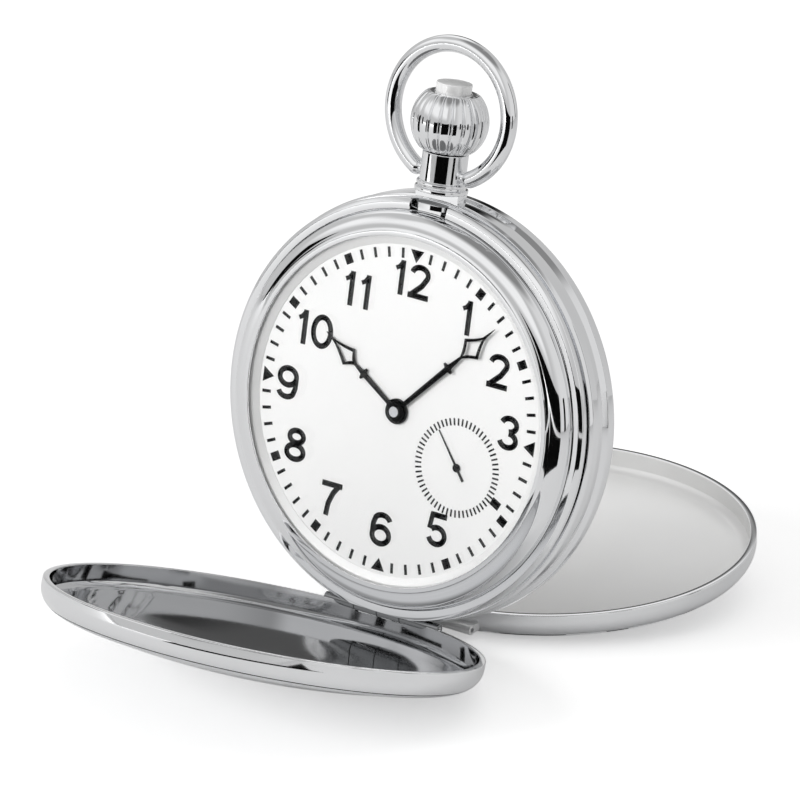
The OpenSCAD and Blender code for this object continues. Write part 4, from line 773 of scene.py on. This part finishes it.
@dataclass
class CaseBand:
    """The middle of the case, with its two seats, the front hinge's flat and the catch's slot."""

    band: float = 25.2
    bore: float = 21.4
    bezel: float = 23.5
    seat_f: float = -2.4
    seat_r: float = -7.3
    lip: float = -8.8
    top: float = -1.0
    bezel_seat: float = -1.3
    flat: float = -24.4
    channel: float = 0.72
    slot_half: float = 2.6
    slot_low: float = -1.95
    recess: float = 5.0
    hinge: HingeSizes = field(default_factory=HingeSizes)

    def outline(self) -> list[Point]:
        """The band's section, with the beads and steps of its side.

        Returns:
            A closed outline of radius and height.
        """
        b, f, r, lip = self.band, self.seat_f, self.seat_r, self.lip
        front, back = b - 0.35, b - 0.9
        return filleted([
            (self.bore, lip, 0.05), (back - 0.5, lip, 0.15), (back, lip + 0.3, 0.15), (back, r, 0.05),
            (b + 0.02, r, 0.12), (b + 0.1, r + 0.35, 0.2), (b + 0.1, r + 1.35, 0.3),
            (b - 0.4, r + 1.95, 0.08), (b - 0.4, r + 2.1, 0.06), (b - 0.1, r + 2.3, 0.2),
            (b, (f + r) / 2 + 0.8, 1.0), (b, f - 0.5, 0.6), (b - 0.22, f, 0.12), (b - 0.8, f, 0.05),
            (b - 0.95, f + 0.15, 0.05), (b - 0.8, f + 0.32, 0.04), (front, f + 0.4, 0.12),
            (front, self.top - 0.35, 0.3), (front - 0.5, self.top, 0.25), (self.bezel + 0.05, self.top, 0.08),
            (self.bezel + 0.03, self.bezel_seat, 0.03), (self.bore, self.bezel_seat, 0.05),
        ])

    def make(self, shop: Workshop) -> None:
        """Fit the cut band, and the front hinge's knuckles in painted shade."""
        cut = self.cut_ring()
        inside = self.slot_faces(cut)
        spans = self.hinge.body_spans()
        mesh = joined([cut, self.hinge.knuckles(spans, HINGE_REAR), self.webs(spans)], "band_turned")
        band = shop.fit(mesh, "band_turned", Finishes.chrome, Body.CASE, ["case_band"])
        # Painted shade on the faces inside the catch's slot.
        shop.line(band, Finishes.painted_shade, inside)
        # Painted shade on the case's knuckles of the front hinge.
        knuckles = self.hinge.knuckles(spans, HINGE_FRONT)
        shop.fit(knuckles, "band_knuckles", Finishes.painted_shade, Body.CASE, ["case_band"])

    def cut_ring(self) -> bpy.types.Mesh:
        """Turn the band and cut it for the front hinge and the catch.

        Returns:
            The band's mesh, without knuckles.
        """
        ring, flat, channel, slot, recess = (Mould() for _ in range(5))
        ring.turned(self.outline())
        y, z = HINGE_FRONT
        half = self.hinge.length / 2 + 0.35
        flat.box((-half, -self.band - 2, z - 1.4), (half, self.flat, z + 1.5))
        channel.rod(self.channel, Vector((-half + 0.15, y, z)), Vector((half - 0.15, y, z)), 0.02)
        half, low = self.slot_half, self.slot_low
        mouth = filleted([(-half, 1.0, 0), (-half, self.top, 0.2), (-half + 0.32, low, 0.25),
                          (half - 0.32, low, 0.25), (half, self.top, 0.2), (half, 1.0, 0)])
        slot.prism(mouth, -self.bezel - 3, -self.bezel - 0.25, LYING)
        wide = self.recess / 2
        recess.box((-wide, self.bore - 1, low + 0.01), (wide, self.bezel + 0.3, self.top + 0.5))
        cutters = [flat.finish("a"), channel.finish("b"), slot.finish("c"), recess.finish("d")]
        return carved(ring.finish("band"), cutters)

    def webs(self, spans: Sequence[Point]) -> bpy.types.Mesh:
        """The webs that join the knuckles of both hinges to the band."""
        webs = Mould()
        start, end = spans[0][0] + 0.03, spans[1][1] - 0.03
        y, z = HINGE_FRONT
        webs.box((start, y + 0.15, z - 0.6), (end, self.flat + 0.3, z))
        y, z = HINGE_REAR
        webs.box((start, y - 0.3, z), (end, self.flat - 0.3, self.seat_r + 0.4))
        return webs.finish("webs")

    def slot_faces(self, mesh: bpy.types.Mesh) -> list[int]:
        """Numbers of the faces inside the catch's slot, which hardly any light reaches."""
        found = []
        for face in mesh.polygons:
            x, y, z = face.center
            if y > 0 and abs(x) < self.slot_half + 0.01 and self.slot_low - 0.01 < z < self.top - 0.02:
                if self.bezel + 0.2 < y and math.hypot(x, y) < self.band - 0.37:
                    found.append(face.index)
        return found


@dataclass
class FrontGlass:
    """The front bezel, the sloping ring round the dial and the domed crystal."""

    crystal: float = CRYSTAL
    bezel: float = 23.5
    height: float = 1.05
    foot: float = -1.3
    rehaut_foot: float = 19.55
    rise: float = 0.65

    def make(self, shop: Workshop) -> None:
        """Turn the three rings."""
        self.make_bezel(shop)
        self.make_rehaut(shop)
        self.make_crystal(shop)

    def make_bezel(self, shop: Workshop) -> None:
        """Turn the wide bezel: an inner lip, a fine step and a long convex slope."""
        c, h = self.crystal, self.height
        centre, foot = (c + 0.65, -1.05), self.foot
        corners: list[Corner] = [(c, h - 0.25, 0.02), (c, h, 0.09)]
        corners += [(c + 0.55, h, 0.06), (c + 0.62, h - 0.13, 0.04)]
        corners += arc(centre, self.bezel - c - 0.75, 83, 6, 34, h + 0.8)
        corners += [(self.bezel - 0.02, -1.0, 0.02), (self.bezel, foot, 0.02), (SPIGOT, foot, 0.02),
                    (SPIGOT, foot - 0.6, 0.02), (SPIGOT_BORE, foot - 0.6, 0.02), (SPIGOT_BORE, foot, 0.02),
                    (c + 0.28, foot + 0.3, 0.02), (c + 0.28, h - 0.25, 0.02)]
        shop.turn(corners, "bezel_turned", Finishes.chrome, ["front_bezel"], 360)

    def make_rehaut(self, shop: Workshop) -> None:
        """Turn the sloping ring between the dial and the crystal."""
        foot, top = self.rehaut_foot, self.height - 0.59
        edge = self.crystal + 0.2
        corners = [(foot, 0.005, 0.01), (foot + 0.06, 0.08, 0.03), (edge - 0.35, top, 0.05),
                   (edge, top, 0.02), (edge, 0.005, 0.02)]
        shop.turn(corners, "rehaut_turned", Finishes.satin, ["rehaut_ring"])

    def make_crystal(self, shop: Workshop) -> None:
        """Turn the domed crystal."""
        edge = self.crystal - 0.03
        ball = (edge ** 2 + self.rise ** 2) / (2 * self.rise)
        angle = math.degrees(math.asin(edge / ball))
        top = self.height - 0.07 + self.rise - ball
        low = self.height - 0.57 + self.rise - ball
        seat, out = self.height - 0.27, edge + 0.25
        corners: list[Corner] = [(out, seat - 0.3, 0.02), (out, seat, 0.02), (edge, seat, 0.02)]
        corners += arc((0, top), ball, 90 - angle, 90, 24)
        corners += arc((0, low), ball, 90, 90 - angle, 24)
        shop.turn(corners, "crystal_turned", Finishes.crystal, ["crystal"], 180)


@dataclass
class BackGlass:
    """The rear bezel and the flat display crystal."""

    lip: float = -8.8
    crystal: float = CRYSTAL
    rear_lip: float = 24.3

    def make(self, shop: Workshop) -> None:
        """Turn the rear bezel and its crystal.

        Args:
            shop: the workshop that fits them.
        """
        lip, low, rim, seat = self.lip, self.lip - 1.2, self.rear_lip, self.crystal + 0.28
        shop.turn([
            (SPIGOT, lip + 0.7, 0.02), (SPIGOT_BORE, lip + 0.7, 0.02), (SPIGOT_BORE, lip, 0.02),
            (seat, lip - 0.1, 0.02), (seat, low + 0.25, 0.02), (self.crystal, low + 0.25, 0.02),
            (self.crystal, low, 0.08), (self.crystal + 0.7, low, 0.12), (rim - 1.4, lip - 0.75, 0.5),
            (rim - 0.85, lip - 0.4, 0.25), (rim - 0.8, lip - 0.03, 0.04), (SPIGOT, lip - 0.03, 0.02),
        ], "back_bezel_turned", Finishes.chrome, ["back_bezel"])
        foot, edge = lip - 0.93, self.crystal + 0.25
        top = foot + 0.7
        shop.turn([(0.0, foot, 0), (edge, foot, 0.08), (edge, top, 0.08), (0.0, top, 0)],
                  "back_crystal_turned", Finishes.crystal, ["back_crystal"], 180)


@dataclass
class Pendant:
    """The neck on its two-tier collar."""

    foot: float = 25.95
    foot_end: float = -24.3
    top: float = 30.6
    neck: float = 2.7
    collar: float = 3.15
    bore: float = 1.05

    def axis(self) -> Matrix:
        """Turns the Z axis of a turned piece onto the stem's line."""
        return Matrix.Translation((0, 0, STEM_Z)) @ Matrix.Rotation(math.radians(-90), 4, "X")

    def make(self, shop: Workshop) -> None:
        """Turn the neck and its collar, and add the foot that enters the band.

        Args:
            shop: the workshop that fits them.
        """
        y, tier = self.foot, self.collar - 0.15
        neck = Mould()
        neck.turned(filleted([
            (self.bore, y, 0.02), (self.collar, y, 0.14), (self.collar, y + 0.5, 0.16),
            (self.neck + 0.1, y + 0.55, 0.08), (self.neck + 0.05, y + 0.8, 0.06), (tier, y + 0.83, 0.12),
            (tier, y + 1.15, 0.14), (self.neck, y + 1.25, 0.1), (self.neck, self.top, 0.14),
            (self.bore, self.top, 0.05)]), self.axis(), 160)
        foot = Mould()
        radius = self.collar - 0.1
        start = math.degrees(math.asin(0.8 / radius))
        outline = arc((0, STEM_Z), radius, start, -180 - start, 60)
        foot.prism([(x, z) for x, z, _ in outline], -self.foot - 0.02, self.foot_end, LYING)
        parts = [neck.finish("neck"), foot.finish("foot")]
        shop.fit(joined(parts, "pendant_turned"), "pendant_turned", Finishes.chrome, Body.CASE, ["pendant"])


@dataclass
class Bow:
    """The plain round-wire bow, with a ball at each end and pins into the neck."""

    ring: float = 8.05
    wire: float = 1.0
    end_x: float = 3.79
    pivot_y: float = 28.1
    pin: float = 0.65
    pin_end: float = 1.6
    steps: int = 220
    cap_steps: int = 10

    def make(self, shop: Workshop) -> None:
        """Sweep the wire, with round ends, and add its pins.

        Args:
            shop: the workshop that fits it.
        """
        drop = math.sqrt(self.ring ** 2 - self.end_x ** 2)
        centre = Vector((0, self.pivot_y + drop, STEM_Z))
        start = math.atan2(-drop, self.end_x)
        span = math.pi - 2 * start
        leans = [math.radians(90 * i / self.cap_steps) for i in range(1, self.cap_steps + 1)]
        cap = [(self.wire * math.sin(a) / self.ring, max(self.wire * math.cos(a), 0.002)) for a in leans]
        wire = [(start - a, r) for a, r in reversed(cap)]
        wire += [(start + span * i / self.steps, self.wire) for i in range(self.steps + 1)]
        wire += [(start + span + a, r) for a, r in cap]
        path = [centre + self.ring * Vector((math.cos(a), math.sin(a), 0)) for a, _ in wire]
        mould = Mould()
        mould.swept(path, [r for _, r in wire], Vector((0, 0, 1)), 48)
        for side in (-1, 1):
            ends = [Vector((side * x, self.pivot_y, STEM_Z)) for x in (self.end_x, self.pin_end)]
            mould.rod(self.pin, ends[0], ends[1])
        shop.fit(mould.finish("bow"), "bow_wire", Finishes.chrome, Body.BOW, ["bow"])


@dataclass
class Crown:
    """The ball-shaped crown, with convex ribs between narrow grooves, and its push button."""

    ball: float = 4.6
    height: float = 6.9
    foot: float = 30.75
    ribs: int = 20
    rib_arch: float = 0.1
    groove_from: float = 0.72
    groove_depth: float = 0.2
    well: float = 2.16
    well_depth: float = 1.1
    button: float = 2.1
    button_h: float = 1.3
    button_ball: float = 12.0
    button_deg: float = 9.2
    stem_hole: float = 0.7
    steps_a_rib: int = 20

    def axis(self) -> Matrix:
        """Puts the crown's middle on the stem's line."""
        return Pendant().axis() @ Matrix.Translation((0, 0, self.foot + self.height / 2))

    def ribbed(self, radius: float, angle: float) -> float:
        """Radius of the ribbed ball, lower towards the grooves and plain near both ends."""
        fade = min(1.0, max(0.0, (radius - 2.5) / 0.55))
        across = abs(((angle * self.ribs / (2 * math.pi)) % 1.0) * 2 - 1)
        edge = min(1.0, max(0.0, (across - self.groove_from) / (1 - self.groove_from)))
        groove = self.groove_depth * edge * edge * (3 - 2 * edge)
        return radius - fade * (groove + self.rib_arch * across ** 2)

    def make(self, shop: Workshop) -> None:
        """Turn the crown and the button."""
        self.make_ball(shop)
        self.make_button(shop)

    def make_ball(self, shop: Workshop) -> None:
        """Turn the ribbed ball with the button's well in its top.

        Args:
            shop: the workshop that fits it.
        """
        half = self.height / 2
        edge = math.sqrt(self.ball ** 2 - half ** 2)
        angle = math.degrees(math.asin(half / self.ball))
        well = half - self.well_depth
        corners: list[Corner] = [(self.stem_hole, -half, 0.03), (edge - 0.3, -half, 0.1)]
        corners += [(edge + 0.02, -half + 0.08, 0.1)]
        corners += arc((0, 0), self.ball, -angle + 3, angle - 3, 44)
        corners += [(edge + 0.02, half - 0.08, 0.1), (edge - 0.3, half, 0.1), (self.well, half, 0.1)]
        corners += [(self.well, well, 0.03), (self.stem_hole, well, 0.03)]
        ball = Mould()
        ball.turned(filleted(corners, 4), self.axis(), self.ribs * self.steps_a_rib, self.ribbed)
        shop.fit(ball.finish("crown"), "crown_ribbed", Finishes.chrome, Body.STEM, ["crown"])

    def make_button(self, shop: Workshop) -> None:
        """Turn the push button with its faintly domed end."""
        low = self.height / 2 - self.well_depth + 0.9
        top = self.height / 2 + self.button_h
        cap: list[Corner] = [(0.0, low, 0), (self.button, low, 0.03), (self.button, top - 0.19, 0.14)]
        cap += arc((0, top - self.button_ball - 0.001), self.button_ball, 90 - self.button_deg, 90, 8)
        button = Mould()
        button.turned(filleted(cap), self.axis(), 128)
        shop.fit(button.finish("button"), "button_turned", Finishes.satin, Body.BUTTON, ["push_button"])


class Dressing:
    """Gives the frame's own nodes their finishes, and bevels in millimetres on worked edges."""

    plan: tuple[tuple[Any, float, tuple[str, ...]], ...] = (
        (Finishes.lacquer, 0.0, ("dial",)),
        (Finishes.ink, 0.0, ("dial_numerals", "dial_marks")),
        (Finishes.hand, 0.02, ("hour_hand", "minute_hand", "seconds_hand")),
        (Finishes.chrome, 0.04, ("cover_catch", "front_hinge_pin", "rear_hinge_pin")),
        (Finishes.steel, 0.04, ("winding_stem", "button_rod", "case_screws", "cannon_pinion", "bridge_screws",
                                "dial_screws", "ratchet_screw", "barrel_arbor", "winding_pinion")),
        (Finishes.steel, 0.02, ("click", "escape_wheel", "pallet_fork", "regulator")),
        (Finishes.snailed, 0.02, ("ratchet_wheel", "crown_wheel")),
        (Finishes.nickel, 0.12, ("barrel_bridge", "train_bridge", "balance_cock")),
        (Finishes.nickel, 0.05, ("pallet_bridge",)),
        (Finishes.spotted, 0.08, ("main_plate", "movement_ring")),
        (Finishes.gilt, 0.02, ("mainspring_barrel", "centre_wheel", "third_wheel", "fourth_wheel",
                               "minute_wheel", "hour_wheel", "balance_wheel")),
        (Finishes.blued, 0.0, ("mainspring", "hairspring", "click_spring", "lift_spring")),
        (Finishes.ruby, 0.0, ("plate_jewels", "bridge_jewels")),
    )

    def make(self, shop: Workshop) -> None:
        """Dress every node in the plan."""
        for finish, bevel_mm, nodes in self.plan:
            for node in nodes:
                shop.dress(node, finish, bevel_mm)


@dataclass(frozen=True)
class Panel:
    """A bright or dark panel of the studio, given by its directions in degrees.

    Azimuth is 0 along -Y and 90 along +X.
    """

    azimuth: float
    elevation: float
    half_turn: float
    half_rise: float
    soft: float
    tone: float


@dataclass
class Studio:
    """White floor, soft lamps, a room of bright and dark panels for the chrome, and the camera."""

    camera_at: tuple[float, float, float] = (0.48699, -0.73277, 0.30695)
    camera_along: tuple[float, float, float] = (-0.52974, 0.7925, -0.30219)
    camera_up: tuple[float, float, float] = (-0.23072, 0.2082, 0.95048)
    lens: float = 357.0
    sensor: float = 36.0
    room: Any = None
    aim: Vector = field(default_factory=lambda: Vector((0, 0, 0.03)))
    room_light: float = 0.62
    mirror_tone: float = 0.74
    panels: tuple[Panel, ...] = (
        Panel(-12, 36, 40, 17, 16, 1.25),
        Panel(-64, 27, 15, 11, 18, 1.3),
        Panel(95, 26, 44, 40, 40, 0.98),
        Panel(0, 82, 180, 20, 16, 0.34),
        Panel(-130, 44, 22, 16, 16, 1.3),
        Panel(-150, 17, 9, 13, 5, 0.13),
        Panel(-154, 17, 2.5, 6, 3, 0.015),
        Panel(-144, 14, 3, 5, 3, 0.015),
        Panel(120, 8, 5, 30, 4, 0.12),
    )
    floor_half: float = 4.0
    floor_lift: float = 0.42
    screen_spans: tuple[Point, ...] = ((-9.0, 52.0), (-62.0, -48.0), (74.0, 86.0))
    screen_away: float = 0.22
    carpet_reach: Point = (0.13, 0.6)
    screen_low: float = 0.027
    screen_height: float = 0.083
    carpet_height: float = 0.0004
    strip_steps: int = 24

    def make(self) -> None:
        """Build the set."""
        self.make_floor()
        self.make_world()
        self.make_lamps()
        self.make_screens()
        self.make_camera()

    def make_floor(self) -> None:
        """A large white floor that keeps the watch's soft shadow."""
        mesh = bpy.data.meshes.new("floor")
        far = self.floor_half
        mesh.from_pydata([(-far, -far, 0), (far, -far, 0), (far, far, 0), (-far, far, 0)], [], [(0, 1, 2, 3)])
        floor = placed("floor", mesh)
        graph = Graph("white_floor")
        graph.link(graph.tint(graph.noise(waves=3000), (0.93,) * 3, (0.95,) * 3), "Base Color")
        graph.set(Roughness=0.7, Specular_IOR_Level=0.2, Emission_Color=(1, 1, 1, 1))
        path = graph.nodes.new("ShaderNodeLightPath")
        lift = graph.spread(path.outputs["Is Camera Ray"], 0.0, self.floor_lift)
        graph.link(lift, "Emission Strength")
        mesh.materials.append(graph.material)

    def make_world(self) -> None:
        """White for the camera, an even room for matt surfaces and a set of panels for mirrors."""
        world = bpy.data.worlds.new("studio")
        bpy.context.scene.world = world
        world.use_nodes = True
        self.room = world.node_tree
        self.room.nodes.clear()
        out = self.room.nodes.new("ShaderNodeOutputWorld")
        path = self.room.nodes.new("ShaderNodeLightPath")
        clear = self.maths("MAXIMUM", path.outputs["Is Camera Ray"], path.outputs["Is Transmission Ray"])
        tone = self.blend(path.outputs["Is Glossy Ray"], self.room_light, self.mirrored())
        tone = self.blend(clear, tone, 1.0)
        sky = self.room.nodes.new("ShaderNodeBackground")
        self.room.links.new(tone, sky.inputs["Strength"])
        self.room.links.new(sky.outputs[0], out.inputs[0])

    def maths(self, operation: str, first: Any, second: Any = 0.0) -> Any:
        """One sum in the world's tree, of outputs or constants."""
        node = self.room.nodes.new("ShaderNodeMath")
        node.operation = operation
        for socket, value in zip(node.inputs, (first, second)):
            if isinstance(value, (int, float)):
                socket.default_value = value
            else:
                self.room.links.new(value, socket)
        return node.outputs[0]

    def blend(self, factor: Any, low: Any, high: Any) -> Any:
        """Go from low to high by a factor."""
        rest = self.maths("SUBTRACT", 1.0, factor)
        return self.maths("ADD", self.maths("MULTIPLY", rest, low), self.maths("MULTIPLY", factor, high))

    def inside(self, angle: Any, middle: float, half: float, soft: float) -> Any:
        """1 where an angle in degrees lies inside a span and 0 outside, with a soft edge."""
        off = self.maths("ABSOLUTE", self.maths("SUBTRACT", angle, middle))
        node = self.room.nodes.new("ShaderNodeMapRange")
        node.interpolation_type = "SMOOTHSTEP"
        node.inputs["From Min"].default_value = half + soft / 2
        node.inputs["From Max"].default_value = half - soft / 2
        self.room.links.new(off, node.inputs["Value"])
        return node.outputs["Result"]

    def mirrored(self) -> Any:
        """What polished surfaces see: a grey room with bright and dark panels.

        Returns:
            The strength of the world's light by direction.
        """
        coords = self.room.nodes.new("ShaderNodeTexCoord")
        parts = self.room.nodes.new("ShaderNodeSeparateXYZ")
        self.room.links.new(coords.outputs["Generated"], parts.inputs[0])
        ahead = self.maths("MULTIPLY", parts.outputs["Y"], -1.0)
        angles = [self.maths("ARCTAN2", parts.outputs["X"], ahead), self.maths("ARCSINE", parts.outputs["Z"])]
        azimuth, elevation = (self.maths("MULTIPLY", angle, math.degrees(1)) for angle in angles)
        tone: Any = self.mirror_tone
        for panel in self.panels:
            wide = self.inside(azimuth, panel.azimuth, panel.half_turn, panel.soft)
            high = self.inside(elevation, panel.elevation, panel.half_rise, panel.soft)
            tone = self.blend(self.maths("MULTIPLY", wide, high), tone, panel.tone)
        return tone

    def lamp(self, name: str, at: Sequence[float], size: float, watts: float) -> None:
        """A square area lamp at a place in metres, turned to the watch."""
        data = bpy.data.lights.new(name, "AREA")
        data.size = size
        data.energy = watts
        lamp = placed(name, data)
        lamp.location = at
        lamp.rotation_mode = "QUATERNION"
        lamp.rotation_quaternion = (Vector(at) - self.aim).to_track_quat("Z", "Y")
        lamp.visible_glossy = False

    def make_lamps(self) -> None:
        """A large key from the upper left and a softer fill."""
        self.lamp("key", at=(-0.45, -0.95, 0.35), size=0.5, watts=7.4)
        self.lamp("top", at=(0.1, 0.2, 0.9), size=0.8, watts=1.0)

    def make_screens(self) -> None:
        """Low curved black screens and a black carpet in front, which only reflections see."""
        mould = Mould()
        low, high = self.screen_low, self.screen_height
        for span in self.screen_spans:
            self.strip(mould, span, [(self.screen_away, low), (self.screen_away, high)])
        self.strip(mould, self.screen_spans[0], [(out, self.carpet_height) for out in self.carpet_reach])
        mesh = mould.finish("black_screens")
        screens = placed("black_screens", mesh)
        graph = Graph("black_felt")
        graph.link(graph.tint(graph.noise(waves=900), (0.002,) * 3, (0.006,) * 3), "Base Color")
        graph.set(Roughness=1.0, Specular_IOR_Level=0.0)
        mesh.materials.append(graph.material)
        screens.visible_camera = False
        screens.visible_diffuse = False
        screens.visible_shadow = False

    def strip(self, mould: Mould, span: Point, edges: Sequence[Point]) -> None:
        """A strip round the watch over a span of degrees, between two edges of reach and height."""
        rows = []
        for i in range(self.strip_steps + 1):
            angle = math.radians(span[0] + (span[1] - span[0]) * i / self.strip_steps)
            out = Vector((math.sin(angle), -math.cos(angle), 0))
            rows.append([reach * out + Vector((0, 0, height)) for reach, height in edges])
        mould.grid(rows, False, False)

    def make_camera(self) -> None:
        """The camera of the photograph."""
        data = bpy.data.cameras.new("camera")
        data.lens = self.lens
        data.sensor_width = self.sensor
        data.clip_start = 0.01
        camera = placed("camera", data)
        back = -Vector(self.camera_along).normalized()
        right = Vector(self.camera_up).cross(back).normalized()
        matrix = Matrix((right, back.cross(right), back)).transposed().to_4x4()
        matrix.translation = Vector(self.camera_at)
        camera.matrix_world = matrix
        bpy.context.scene.camera = camera


def main() -> None:
    """Build the sub-assemblies in order and report each piece."""
    logging.basicConfig(level=logging.INFO, format="%(name)s: %(message)s")
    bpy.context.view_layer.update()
    joints = {joint["name"]: joint for joint in frame["joints"]}
    shop = Workshop(Stance.from_joints(joints))
    rear_open = joints["rear_cover_hinge"]["range_deg"][1]
    front_open = -joints["front_cover_hinge"]["range_deg"][0]
    CaseBand().make(shop)
    FrontGlass().make(shop)
    BackGlass().make(shop)
    Cover("front_cover", Body.FRONT_COVER, Finishes.chrome, outer=25.8, depth=6.2, seat=-2.3, facing=1,
          hinge_at=HINGE_FRONT, open_deg=front_open).make(shop)
    Cover("rear_cover", Body.REAR_COVER, Finishes.satin, outer=26.0, depth=5.2, seat=-7.4, facing=-1,
          hinge_at=HINGE_REAR, open_deg=-rear_open).make(shop)
    Pendant().make(shop)
    Bow().make(shop)
    Crown().make(shop)
    Dressing().make(shop)
    Studio().make()
    bpy.context.scene.view_settings.view_transform = "Standard"


if __name__ == "__main__":
    main()
